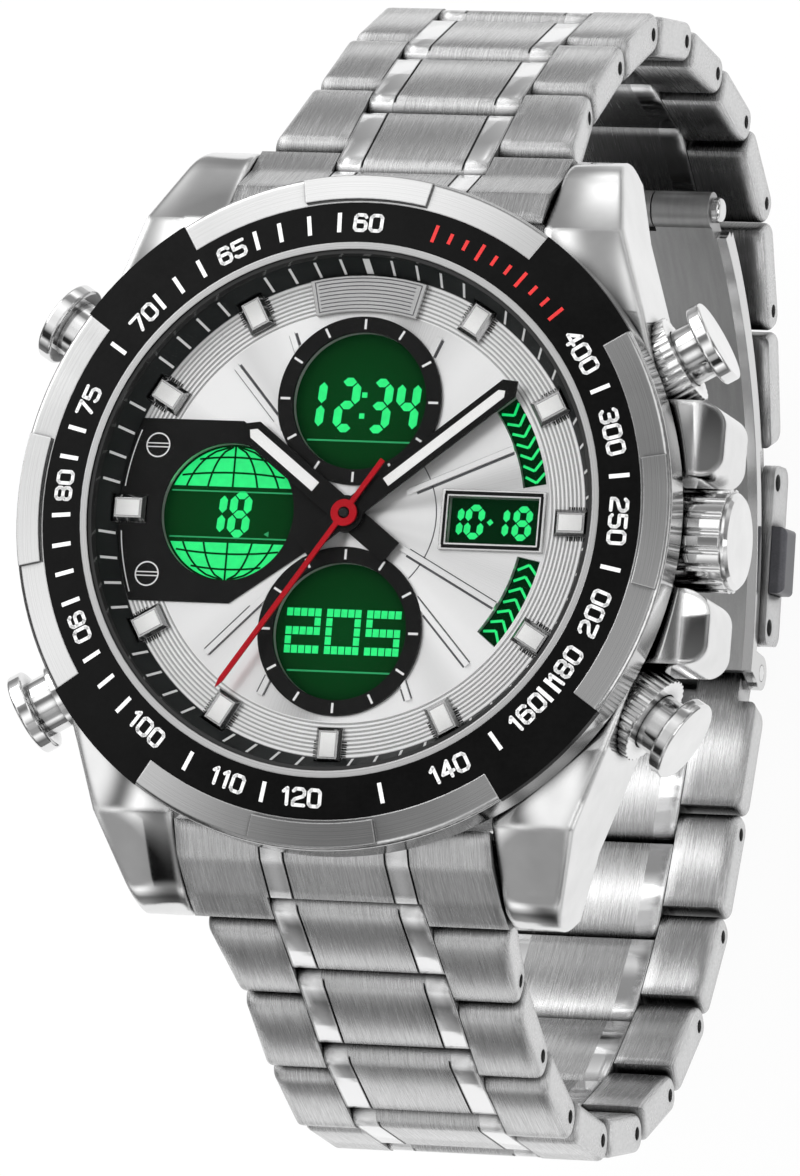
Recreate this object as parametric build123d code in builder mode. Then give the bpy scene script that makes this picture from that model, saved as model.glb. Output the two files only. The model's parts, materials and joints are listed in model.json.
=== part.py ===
from build123d import *
from math import asin, atan2, cos, degrees, hypot, radians, sin, sqrt
import os

os.makedirs("parts", exist_ok=True)

# Dual display wristwatch with a steel bracelet, closed as if on a wrist.
# The origin is the centre of the wrist opening. +Z points out of the dial,
# +Y to 12 o'clock and +X to 3 o'clock, where the crown is. Millimetres.

# Bezel, crystal and dial opening.
bezel_radius = 24.0
dial_height = 37.8                # dial surface above the wrist centre
dial_sink = 2.2                   # dial surface below the bezel's outer edge
bezel_edge_height = dial_height + dial_sink
bezel_rise = 0.75                 # the top climbs this much towards the crystal
bezel_skirt = 3.3
bezel_band = 5.0                  # from the bezel's outer edge to its polished lip
lip_radius = bezel_radius - bezel_band
lip_width = 0.5
bezel_inner_radius = lip_radius - lip_width
insert_border = 2.1               # steel left outside the dark insert
insert_outer_radius = bezel_radius - insert_border
dial_inset = 0.9
dial_radius = bezel_inner_radius - dial_inset
insert_thickness = 0.7
insert_ear_half_angle = 11.0
ear_count = 4
pad_count = 4
pad_half_angle = 11.5
pad_height = 0.28
pad_width = 1.7
pad_inset = 0.15
bezel_fillet = 0.35
seat_clearance = 0.03
crystal_thickness = 1.3
crystal_proud = 0.2
crystal_chamfer = 0.25
crystal_gasket_thickness = 0.3
crystal_gasket_top = 0.35         # its top edge below the crystal's

# Case middle, lugs and crown guards.
case_inset = 1.3                  # case middle inside the bezel's edge
case_radius = bezel_radius - case_inset
case_top_gap = 0.05
movement_side_gap = 0.3
case_bore_radius = dial_radius + movement_side_gap
case_fillet = 0.8
movement_floor_gap = 2.0          # between the movement and the case back
bar_stand_off = 3.2               # spring bar outside the case middle
bar_reach = case_radius + bar_stand_off
bar_drop = 10.5                   # spring bar below the bezel edge
lug_front_lead = 0.7
lug_front_reach = bar_reach + lug_front_lead
lug_front_rise = 2.2
lug_front_drop = bar_drop - lug_front_rise
lug_tip_lead = 1.8
lug_tip_reach = bar_reach + lug_tip_lead
lug_tip_fall = 0.9
lug_tip_drop = bar_drop + lug_tip_fall
lug_foot_lead = 0.4
lug_foot_reach = bar_reach + lug_foot_lead
lug_foot_fall = 2.9
lug_foot_drop = bar_drop + lug_foot_fall
lug_knee_set_back = 4.7
lug_knee_reach = bar_reach - lug_knee_set_back
lug_knee_drop = 3.7
lug_under_inset = 1.2
lug_under_reach = case_radius - lug_under_inset
lug_root = 6.0
lug_base_reach = 10.0
lug_base_inset = 1.4
lug_base_half_width = case_radius - lug_base_inset
lug_shoulder_reach = 15.6
lug_shoulder_inset = 3.1
lug_shoulder_half_width = case_radius - lug_shoulder_inset
lug_fillet = 0.4
lug_front_round = 5.0             # the lug rolls over towards its tip
lug_tip_round = 2.4
guard_stand_out = 3.3
guard_reach = case_radius + guard_stand_out
guard_outer_half = 9.3
guard_inner_half = 4.0
guard_top_drop = 3.6
guard_front_fall = 1.2
guard_front_drop = guard_top_drop + guard_front_fall
guard_knee_run = 1.7
guard_knee_reach = guard_reach - guard_knee_run
guard_bottom_drop = 10.4
guard_corner = 1.6
guard_depth = 6.0
guard_inner_radius = guard_reach - guard_depth

# Spring bars and end links.
bar_radius = 0.75
bar_hole_clearance = 0.05
bar_end_depth = 1.6               # how far a bar enters each lug
end_link_gap = 0.1
end_link_top_set_back = 4.3
end_link_top_reach = bar_reach - end_link_top_set_back
end_link_top_drop = 3.9
end_link_knee_set_back = 1.9
end_link_knee_reach = bar_reach - end_link_knee_set_back
end_link_knee_fall = 1.4
end_link_knee_drop = end_link_top_drop + end_link_knee_fall
end_link_thickness = 3.1
end_ear_bevel = 0.7               # lets the first link swing outwards
strip_groove_width = 0.16
strip_groove_depth = 0.25

# Bracelet links.
link_pitch = 8.44
link_half_thickness = 1.45
link_half_width = 10.3
first_link_flare = 0.9
first_link_half_width = link_half_width + first_link_flare
lug_side_gap = 0.5                # between the first link and each lug
lug_inner_half_width = first_link_half_width + lug_side_gap
lug_tip_width = 3.8
lug_tip_half_width = lug_inner_half_width + lug_tip_width
centre_half_width = 5.65
strip_width = 1.9
strip_inner_half_width = centre_half_width - strip_width
centre_side_gap = 0.07
end_gap = 0.25
pin_radius = 0.45
pin_clearance = 0.05
pin_recess = 0.4
link_fillet = 1.1                 # rolled ends of the outer pieces
centre_fillet = 0.8
link_side_fillet = 0.5
long_link_pitch = 13.14
long_link_body = 10.2
blade_side_inset = 0.4
blade_half_width = link_half_width - blade_side_inset
ear_thickness = 0.85
tongue_side_gap = 0.25
long_tongue_half_width = blade_half_width - ear_thickness - tongue_side_gap
# slope of each link at rest, from the lug to the clasp, in degrees
turns_12 = [-46.0, -53.0, -61.0, -81.0, -94.0, -103.0, -124.0, -151.0, -158.0]
turns_6 = [-60.0, -59.0, -67.0, -86.0, -101.0, -117.0, -135.0, -150.0, -163.0, -166.0]

# Clasp.
blade_radius = 34.2               # wrist side of the inner blade
blade_thickness = 1.0
blade_centre_reach = 1.9          # centre of the blades' curve
blade_centre_drop = 35.9
blade_gap = 0.3
middle_thickness = 1.0
middle_side_inset = 1.2
middle_half_width = blade_half_width - middle_side_inset
hinge_reach = 32.6                # hinge of the two blades, along Y
knuckle_radius = 1.35
knuckle_gap = 0.12
middle_knuckle_half_width = 4.5
blade_knuckle_inset = 0.9
blade_knuckle_half_width = blade_half_width - blade_knuckle_inset
hinge_pin_radius = 0.6
hinge_head_radius = 0.95
hinge_head_length = 0.8
blade_end_reach = 0.9
ear_radius = 1.3
ear_root_reach = 2.6
blade_flange_reach = 17.6
flange_depth = 0.5
flange_width = 0.7
cover_hinge_reach = 4.6
cover_hinge_drop = 72.55
cover_wall = 1.0
cover_knuckle_radius = 1.15
cover_plate_thickness = 1.2
cover_depth = 2.75                # from the cover's pins down to its outer face
cover_inner_rise = 1.0
cover_plate_lead = 0.6
cover_ear_radius = 1.3
cover_groove_depth = 0.25
button_length = 5.0
button_inner_rise = 0.8
button_outer_rise = 2.3
button_neck_inner = 0.3
button_neck_outer = 1.4
button_proud = 1.1
button_cap = 1.45
button_flange = 0.4
button_gap = 0.08
button_shoulder = 0.4
button_corner = 0.5

# Pushers and crown.
side_axis_drop = 7.2              # crown and pusher axes below the bezel edge
crown_stand_out = 4.3
crown_end = case_radius + crown_stand_out
crown_radius = 3.65
crown_face_radius = 2.9
crown_length = 4.1
crown_edge = 0.5
flute_count = 18
flute_radius = 0.36
crown_collar_radius = 3.75
crown_collar_length = 0.8
stem_radius = 0.6
stem_run = 7.3                    # stem inside the movement holder
stem_start = case_bore_radius - stem_run
tube_radius = 1.3
tube_wall = 0.35
tube_stand_out = 1.7
tube_end = case_radius + tube_stand_out
crown_recess = 1.9
crown_recess_gap = 0.3
seal_length = 0.6
seal_depth = 2.2
seal_place = case_radius - seal_depth
pusher_angle = 30.4
pusher_stand_out = 5.5
pusher_end = case_radius + pusher_stand_out
pusher_head_radius = 3.0
pusher_head_length = 1.1
pusher_neck_radius = 2.1
pusher_neck_depth = 0.2
pusher_neck_end = case_radius - pusher_neck_depth
collar_radius = 3.25
collar_stand_out = 2.7
collar_end = case_radius + collar_stand_out
collar_depth = 2.1
collar_start = case_radius - collar_depth
collar_bore_gap = 0.08
collar_floor_thickness = 1.0
collar_floor = collar_start + collar_floor_thickness
collar_step = 0.35
collar_step_length = 1.6
collar_tooth_count = 32
collar_tooth_radius = 0.22
plain_collar_radius = 2.9
pusher_shaft_radius = 0.8
pusher_shaft_gap = 0.7
pusher_shaft_inner = case_bore_radius + pusher_shaft_gap
pusher_edge = 0.2

# Dial side, from the dial surface up.
dial_thickness = 0.5
track_seat_width = 0.45
track_inner_radius = dial_radius - track_seat_width
track_top_width = 0.25
track_gap = 0.05
marker_length = 2.5
marker_width = 1.9
marker_height = 0.6
marker_chamfer = 0.25
marker_gap = 0.05
marker_radius = dial_radius - marker_length / 2 - marker_gap
hour_count = 12
subdial_reach = 8.2
subdial_radius = 6.0
display_radius = 4.9
left_display_reach = 9.05
ring_height = 0.3
ring_gap = 0.04
side_plate_top = 6.5
side_plate_left = track_inner_radius - track_gap
side_plate_right = 8.4
side_plate_tip = 1.6
side_plate_height = 0.16
date_left = 6.7
date_right = 14.3
date_half_height = 2.15
date_border = 0.5
rib_angles = [23.0, 66.0, 118.0, 137.0, 157.0, 203.0, 224.0, 318.0, 337.0]
rib_width = 0.42
rib_height = 0.22
rib_start = 4.4
rib_end = 14.0
chevron_inner_radius = 12.7
chevron_outer_radius = 14.4
chevron_start = 8.34              # far and near ends of a window from the 3 o'clock line
chevron_end = 2.58
groove_start_radius = 14.75
groove_count = 8
groove_pitch = 0.3
groove_width = 0.14
groove_depth = 0.1
plaque_inner_radius = 14.55
plaque_outer_radius = track_inner_radius - marker_gap
plaque_half_angle = 14.5
plaque_height = 0.45

# Hands.
hand_thickness = 0.2
hour_hand_lift = 0.65
minute_hand_lift = 1.05
second_hand_lift = 1.42
hour_hand_angle = 307.0
minute_hand_angle = 50.4
second_hand_angle = 213.3
hour_hand_length = 10.3
hour_hand_tail = 4.3
hour_hand_width = 1.8
minute_hand_length = 15.3
minute_hand_tail = 3.9
minute_hand_width = 1.55
second_hand_length = 15.2
second_hand_tail = 4.6
second_hand_width = 0.36
second_hub_radius = 0.95
hand_hub_radius = 1.3
hour_pipe_radius = 1.0
minute_pipe_radius = 0.7
second_arbor_radius = 0.35
arbor_clearance = 0.05

# Movement and case back.
display_gap = 0.05
display_thickness = 1.0
holder_wall = 1.0
display_panel_radius = dial_radius - holder_wall
movement_plate_thickness = 1.6
movement_radius = display_panel_radius
board_thickness = 0.6
battery_radius = 4.75
battery_thickness = 2.1
battery_reach = 8.0
coil_length = 8.0
coil_radius = 1.1
coil_reach = 6.6
coil_end = 2.6
coil_end_length = 1.2
wheel_thickness = 0.3
wheel_gap = 0.06
pinion_radius = 1.2
pinion_thickness = 0.8
hour_wheel_radius = 3.0
centre_bore = 1.5
back_inset = 2.7
back_radius = case_radius - back_inset
back_thickness = 1.3
back_step = 0.7
back_step_inset = 0.7
back_step_radius = case_bore_radius - back_step_inset
back_screw_inset = 1.1
back_screw_circle = back_radius - back_screw_inset
back_screw_count = 4
back_screw_radius = 0.5
back_screw_head_radius = 0.8
back_screw_head = 0.5
back_screw_length = 2.6
back_screw_slot = 0.22
back_seal_thickness = 0.6

overrun = 1.0

# Levels worked out from the sizes above.
crystal_top = bezel_edge_height + bezel_rise + crystal_proud
crystal_bottom = crystal_top - crystal_thickness
bezel_bottom = bezel_edge_height - bezel_skirt
case_top = bezel_bottom - case_top_gap
side_axis = bezel_edge_height - side_axis_drop
dial_bottom = dial_height - dial_thickness
display_top = dial_bottom - display_gap
display_bottom = display_top - display_thickness
plate_top = display_bottom - display_gap
plate_bottom = plate_top - movement_plate_thickness
board_top = plate_bottom - display_gap
board_bottom = board_top - board_thickness
battery_top = board_bottom - display_gap
case_bottom = battery_top - coil_end - movement_floor_gap - back_step
back_bottom = case_bottom - back_thickness
bar_height = bezel_edge_height - bar_drop
running = link_half_thickness + end_gap


def clock_plane(angle, reach, height):
    # plane on a side axis: its normal points out of the case at this clock angle
    a = radians(angle)
    out = (sin(a), cos(a), 0)
    return Plane(origin=(reach * sin(a), reach * cos(a), height), x_dir=(0, 0, 1), z_dir=out)


def chain(start, turns, side):
    # pivots of one half of the bracelet, from the lug to the clasp
    y, z = side * start[0], start[1]
    pivots = [(y, z)]
    for i, turn in enumerate(turns):
        pitch = long_link_pitch if i == len(turns) - 1 else link_pitch
        y += side * pitch * cos(radians(turn))
        z += pitch * sin(radians(turn))
        pivots.append((y, z))
    return pivots


pivots_12 = chain((bar_reach, bar_height), turns_12, 1)
pivots_6 = chain((bar_reach, bar_height), turns_6, -1)


def link_plane(near, far, side, offset):
    # local x runs along the link, local y to the outside of the bracelet
    dy, dz = far[0] - near[0], far[1] - near[1]
    return Plane(origin=(offset * side, near[0], near[1]), x_dir=(0, dy, dz), z_dir=(side, 0, 0))


def save(piece, label):
    piece.label = label
    export_step(piece, "parts/" + label + ".step")


# Bracelet links.

near_bore = pin_radius + pin_clearance


def far_bore(is_long):
    return hinge_pin_radius + pin_clearance if is_long else pin_radius + pin_clearance


def make_link(near, far, side, near_half_width, is_long, bar_half_length):
    pitch = long_link_pitch if is_long else link_pitch
    body = long_link_body if is_long else pitch + link_half_thickness
    centre_end = long_link_body if is_long else pitch - running
    t = link_half_thickness
    far_half_width = link_half_width
    lower = link_plane(near, far, side, -near_half_width)
    middle = link_plane(near, far, side, -centre_half_width)
    outer_inside = centre_half_width + centre_side_gap
    with BuildPart() as link:
        # the two brushed outer pieces
        with BuildSketch(lower):
            with BuildLine():
                if is_long:
                    Polyline((running, -t), (body, -t), (body, t), (running, t), close=True)
                else:
                    low = Line((running, -t), (pitch, -t))
                    JernArc(start=low @ 1, tangent=(1, 0), radius=t, arc_size=90)
                    Polyline((pitch + t, 0), (pitch + t, t), (running, t), (running, -t))
            make_face()
        extrude(amount=2 * near_half_width)
        tops = link.edges().filter_by(Axis.X).group_by(SortBy.LENGTH)[-1]
        lifted = [e for e in tops if lower.to_local_coords(e.center()).Y > 0]
        fillet(lifted, radius=link_fillet)
        # the room for the centre piece
        with BuildSketch(link_plane(near, far, side, -outer_inside)):
            Rectangle(2 * (body + overrun), 4 * t)
        extrude(amount=2 * outer_inside, mode=Mode.SUBTRACT)
        # taper of the outer sides
        if near_half_width > far_half_width:
            top = Plane(origin=(0, near[0], near[1]), x_dir=lower.x_dir, z_dir=lower.y_dir)
            with BuildSketch(top.offset(-2 * t)):
                with Locations((0, 0)):
                    for s in (-1, 1):
                        with BuildLine():
                            Polyline((running - overrun, s * (near_half_width + overrun)),
                                     (running - overrun, s * near_half_width),
                                     (running, s * near_half_width),
                                     (body, s * far_half_width),
                                     (body + overrun, s * far_half_width),
                                     (body + overrun, s * (near_half_width + overrun)), close=True)
                        make_face()
            extrude(amount=4 * t, mode=Mode.SUBTRACT)
        # soft edge along each outer side
        rims = [e for e in link.edges() if lower.to_local_coords(e.center()).Y > t - link_fillet
                and abs(e.center().X) > outer_inside + strip_width
                and abs(e.tangent_at(0).X) < abs(e.tangent_at(0).Y) + abs(e.tangent_at(0).Z)]
        fillet(rims, radius=link_side_fillet)
        # the centre piece with its rounded tongue round the near pin
        with BuildSketch(middle):
            with BuildLine():
                Polyline((0, -t), (centre_end, -t), (centre_end, t), (0, t))
                ThreePointArc((0, t), (-t, 0), (0, -t))
            make_face()
        extrude(amount=2 * centre_half_width)
        ends = [e for e in link.edges(Select.LAST).filter_by(Axis.X)
                if middle.to_local_coords(e.center()).X > centre_end / 2
                and middle.to_local_coords(e.center()).Y > 0]
        fillet(ends, radius=centre_fillet)
        # grooves beside the polished strips
        for s in (-1, 1):
            with BuildSketch(link_plane(near, far, side, s * strip_inner_half_width
                                        - strip_groove_width / 2)):
                with Locations(((centre_end) / 2, t)):
                    Rectangle(2 * centre_end, 2 * strip_groove_depth)
            extrude(amount=strip_groove_width, mode=Mode.SUBTRACT)
        if is_long:
            # the wide tongue that reaches the clasp's pin
            with BuildSketch(link_plane(near, far, side, -long_tongue_half_width)):
                with BuildLine():
                    Polyline((pitch, t), (body, t), (body, -t), (pitch, -t))
                    ThreePointArc((pitch, -t), (pitch + t, 0), (pitch, t))
                make_face()
            extrude(amount=2 * long_tongue_half_width)
        # holes for the near and far pins
        with BuildSketch(link_plane(near, far, side, -near_half_width - overrun)):
            with Locations((0, 0)):
                Circle(near_bore if bar_half_length is None else bar_radius + bar_hole_clearance)
            with Locations((pitch, 0)):
                Circle(far_bore(is_long))
        extrude(amount=2 * (near_half_width + overrun), mode=Mode.SUBTRACT)
    return link


def link_with_pin(near, far, side, near_half_width, is_long, bar_half_length=None, bar_mid=False):
    link = make_link(near, far, side, near_half_width, is_long, bar_half_length)
    solids = list(link.part.solids())
    if not is_long:
        half = link_half_width - pin_recess
        with BuildPart() as pin:
            with BuildSketch(link_plane(near, far, side, -half)):
                with Locations((link_pitch, 0)):
                    Circle(pin_radius)
            extrude(amount=2 * half)
        solids += list(pin.part.solids())
    if bar_mid:
        with BuildPart() as bar:
            with BuildSketch(link_plane(near, far, side, -bar_half_length)):
                Circle(bar_radius)
            extrude(amount=2 * bar_half_length)
        solids += list(bar.part.solids())
    return Compound(children=solids)


for count, pivots, side, prefix in ((9, pivots_12, 1, "link_12_"), (10, pivots_6, -1, "link_6_")):
    for k in range(count):
        first = k == 0
        piece = link_with_pin(pivots[k], pivots[k + 1], side,
                              first_link_half_width if first else link_half_width,
                              k == count - 1,
                              centre_half_width - centre_side_gap if first else None,
                              first and side == 1)
        save(piece, prefix + str(k + 1))


# Clasp.

blade_centre = (blade_centre_reach, bezel_edge_height - blade_centre_drop)
blade_outer = blade_radius + blade_thickness
middle_inner = blade_outer + blade_gap
middle_outer = middle_inner + middle_thickness
hinge_orbit = blade_outer + blade_gap / 2
hinge_rise = sqrt(hinge_orbit ** 2 - (hinge_reach - blade_centre_reach) ** 2)
hinge_pivot = (hinge_reach, blade_centre[1] - hinge_rise)
cover_pivot = (cover_hinge_reach, bezel_edge_height - cover_hinge_drop)
bar_pivot = pivots_12[-1]
end_pivot = pivots_6[-1]


def sweep_angle(point):
    return degrees(atan2(point[1] - blade_centre[1], point[0] - blade_centre[0]))


def across(half_width):
    return Plane.YZ.offset(-half_width)


def blade_arc(inner, outer, start, end):
    # curved plate section between two radii about the blades' centre
    with BuildSketch(mode=Mode.PRIVATE) as section:
        with BuildLine():
            a = CenterArc(blade_centre, inner, start, end - start)
            b = CenterArc(blade_centre, outer, start, end - start)
            Line(a @ 0, b @ 0)
            Line(a @ 1, b @ 1)
        make_face()
    return section.sketch


hinge_angle = sweep_angle(hinge_pivot)
blade_end_run = blade_centre_reach - blade_end_reach
blade_end_angle = -90 - degrees(blade_end_run / blade_radius)
flange_end_run = blade_flange_reach - blade_centre_reach
flange_end_angle = -90 + degrees(flange_end_run / blade_outer)

with BuildPart() as inner_blade:
    with BuildSketch(across(blade_half_width)):
        add(blade_arc(blade_radius, blade_outer, blade_end_angle, hinge_angle))
    extrude(amount=2 * blade_half_width)
    with BuildSketch(across(blade_knuckle_half_width)):
        with Locations(hinge_pivot):
            Circle(knuckle_radius)
    extrude(amount=2 * blade_knuckle_half_width)
    # side flanges of the pressed plate
    for s in (-1, 1):
        edge = s * (blade_half_width - flange_width / 2)
        with BuildSketch(Plane.YZ.offset(edge - flange_width / 2)):
            add(blade_arc(blade_outer - flange_depth, blade_outer + flange_depth, flange_end_angle,
                          hinge_angle - degrees(2 * knuckle_radius / blade_outer)))
        extrude(amount=flange_width)
    # room for the middle blade's knuckle, and for the pin's heads
    with BuildSketch(across(middle_knuckle_half_width + knuckle_gap)):
        with Locations(hinge_pivot):
            Circle(knuckle_radius + blade_gap)
    extrude(amount=2 * (middle_knuckle_half_width + knuckle_gap), mode=Mode.SUBTRACT)
    for s in (-1, 1):
        start = blade_knuckle_half_width if s == 1 else -blade_knuckle_half_width - 2 * overrun
        with BuildSketch(Plane.YZ.offset(start)):
            with Locations(hinge_pivot):
                Circle(knuckle_radius + hinge_head_length)
        extrude(amount=2 * overrun, mode=Mode.SUBTRACT)
    # ears that hold the last link's pin
    for s in (-1, 1):
        start = blade_half_width - ear_thickness if s == 1 else -blade_half_width
        with BuildSketch(Plane.YZ.offset(start)):
            with BuildLine():
                Polyline((end_pivot[0] - ear_radius, end_pivot[1]),
                         (blade_end_reach, blade_centre[1] - blade_radius - blade_thickness / 2),
                         (ear_root_reach, blade_centre[1] - blade_radius - blade_thickness / 2),
                         (end_pivot[0] + ear_radius, end_pivot[1]), close=True)
            make_face()
            with Locations(end_pivot):
                Circle(ear_radius)
        extrude(amount=ear_thickness)
    with BuildSketch(across(blade_half_width + overrun)):
        with Locations(hinge_pivot, end_pivot):
            Circle(hinge_pin_radius + pin_clearance)
    extrude(amount=2 * (blade_half_width + overrun), mode=Mode.SUBTRACT)
save(inner_blade.part, "inner_blade")

with BuildPart() as middle_blade:
    with BuildSketch(across(middle_half_width)):
        add(blade_arc(middle_inner, middle_outer, sweep_angle(cover_pivot), hinge_angle))
    extrude(amount=2 * middle_half_width)
    # the plate is cut back beside its knuckle
    for s in (-1, 1):
        start = middle_knuckle_half_width if s == 1 else -middle_half_width - overrun
        with BuildSketch(Plane.YZ.offset(start)):
            with Locations(hinge_pivot):
                Circle(knuckle_radius + blade_gap)
        extrude(amount=middle_half_width + overrun - middle_knuckle_half_width, mode=Mode.SUBTRACT)
    with BuildSketch(across(middle_knuckle_half_width)):
        with Locations(hinge_pivot):
            Circle(knuckle_radius)
    extrude(amount=2 * middle_knuckle_half_width)
    with BuildSketch(across(middle_half_width)):
        with Locations(cover_pivot):
            Circle(cover_knuckle_radius)
    extrude(amount=2 * middle_half_width)
    with BuildSketch(across(middle_half_width + overrun)):
        with Locations(hinge_pivot, cover_pivot):
            Circle(hinge_pin_radius + pin_clearance)
    extrude(amount=2 * (middle_half_width + overrun), mode=Mode.SUBTRACT)
save(middle_blade.part, "middle_blade")

# the two pins that ride on the inner blade
with BuildPart() as blade_pins:
    with BuildSketch(across(blade_knuckle_half_width)):
        with Locations(hinge_pivot):
            Circle(hinge_pin_radius)
    extrude(amount=2 * blade_knuckle_half_width)
    for s in (-1, 1):
        start = blade_knuckle_half_width if s == 1 else -blade_knuckle_half_width - hinge_head_length
        with BuildSketch(Plane.YZ.offset(start)):
            with Locations(hinge_pivot):
                Circle(hinge_head_radius)
        extrude(amount=hinge_head_length)
    heads = blade_pins.edges().filter_by(GeomType.CIRCLE).sort_by(Axis.X)
    fillet([heads[0], heads[-1]], radius=hinge_head_radius - hinge_pin_radius)
    with BuildSketch(across(blade_half_width)):
        with Locations(end_pivot):
            Circle(hinge_pin_radius)
    extrude(amount=2 * blade_half_width)
save(blade_pins.part, "blade_pins")

cover_length = hypot(cover_pivot[0] - bar_pivot[0], cover_pivot[1] - bar_pivot[1])
cover_reach = cover_length + cover_ear_radius
button_middle = cover_length / 2 + button_shoulder


def cover_plane(offset):
    return link_plane(bar_pivot, cover_pivot, 1, offset)


def box_face(x0, x1, y0, y1):
    Polyline((x0, y0), (x1, y0), (x1, y1), (x0, y1), close=True)


with BuildPart() as clasp_cover:
    with BuildSketch(cover_plane(-link_half_width)):
        with BuildLine():
            box_face(-cover_ear_radius, cover_reach, -cover_inner_rise, cover_depth)
        make_face()
    extrude(amount=2 * link_half_width)
    ends = clasp_cover.edges().filter_by(Axis.X)
    plane = cover_plane(0)
    inner_edges = [e for e in ends if plane.to_local_coords(e.center()).Y < 0]
    fillet(inner_edges, radius=cover_inner_rise)
    outer_edges = [e for e in clasp_cover.edges().filter_by(Axis.X)
                   if plane.to_local_coords(e.center()).Y > cover_depth - link_fillet]
    fillet(outer_edges, radius=link_fillet)
    # the hollow between the side walls
    hollow = link_half_width - cover_wall
    with BuildSketch(cover_plane(-hollow)):
        with BuildLine():
            box_face(-cover_ear_radius - overrun, cover_reach + overrun,
                     -cover_inner_rise - overrun, cover_depth - cover_plate_thickness)
        make_face()
    extrude(amount=2 * hollow, mode=Mode.SUBTRACT)
    # the outer plate stops short of the bar, so that the link can swing
    with BuildSketch(cover_plane(-hollow)):
        with BuildLine():
            box_face(-cover_ear_radius - overrun, -cover_plate_lead, 0, cover_depth + overrun)
        make_face()
    extrude(amount=2 * hollow, mode=Mode.SUBTRACT)
    # grooves that carry the bracelet's centre line over the cover
    for s in (-1, 1):
        for line in (strip_inner_half_width, centre_half_width):
            with BuildSketch(cover_plane(s * line - strip_groove_width / 2)):
                with Locations((cover_length / 2, cover_depth)):
                    Rectangle(2 * cover_length, 2 * cover_groove_depth)
            extrude(amount=strip_groove_width, mode=Mode.SUBTRACT)
    # windows for the two release buttons
    for s in (-1, 1):
        start = hollow if s == 1 else -link_half_width - overrun
        with BuildSketch(cover_plane(start)):
            with BuildLine():
                box_face(button_middle - button_length / 2 - button_gap,
                         button_middle + button_length / 2 + button_gap,
                         -button_inner_rise - button_gap, button_outer_rise + button_gap)
            make_face()
        extrude(amount=cover_wall + overrun, mode=Mode.SUBTRACT)
    with BuildSketch(cover_plane(-link_half_width - overrun)):
        with Locations((0, 0), (cover_length, 0)):
            Circle(hinge_pin_radius + pin_clearance)
    extrude(amount=2 * (link_half_width + overrun), mode=Mode.SUBTRACT)
save(clasp_cover.part, "clasp_cover")

with BuildPart() as cover_pins:
    half = link_half_width - pin_recess
    with BuildSketch(cover_plane(-half)):
        with Locations((0, 0), (cover_length, 0)):
            Circle(hinge_pin_radius)
    extrude(amount=2 * half)
save(cover_pins.part, "cover_pins")

for s, label in ((1, "clasp_button_right"), (-1, "clasp_button_left")):
    cap_outer = link_half_width + button_proud
    cap_inner = cap_outer - button_cap
    neck_inner = hollow - button_gap
    flange_inner = neck_inner - button_flange
    with BuildPart() as clasp_button:
        with BuildSketch(cover_plane(cap_inner if s == 1 else -cap_outer)):
            with BuildLine():
                box_face(button_middle - button_length / 2, button_middle + button_length / 2,
                         -button_inner_rise, button_outer_rise)
            make_face()
        extrude(amount=button_cap)
        side_face = clasp_button.faces().filter_by(Axis.X).sort_by(Axis.X)[-1 if s == 1 else 0]
        fillet(side_face.edges(), radius=button_corner)
        with BuildSketch(cover_plane(neck_inner if s == 1 else -cap_inner)):
            with BuildLine():
                box_face(button_middle - button_length / 2 + button_shoulder,
                         button_middle + button_length / 2 - button_shoulder,
                         -button_neck_inner, button_neck_outer)
            make_face()
        extrude(amount=cap_inner - neck_inner)
        with BuildSketch(cover_plane(flange_inner if s == 1 else -neck_inner)):
            with BuildLine():
                box_face(button_middle - button_length / 2 - button_shoulder,
                         button_middle + button_length / 2 + button_shoulder,
                         -button_neck_inner, button_neck_outer)
            make_face()
        extrude(amount=button_flange)
    save(clasp_button.part, label)


# End links and spring bars.

def chain_point(near, far, side, along, out):
    # a place beside a link's line, given along it and outwards
    dy, dz = far[0] - near[0], far[1] - near[1]
    reach = hypot(dy, dz)
    return (near[0] + (along * dy - out * side * dz) / reach,
            near[1] + (along * dz + out * side * dy) / reach)


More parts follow.
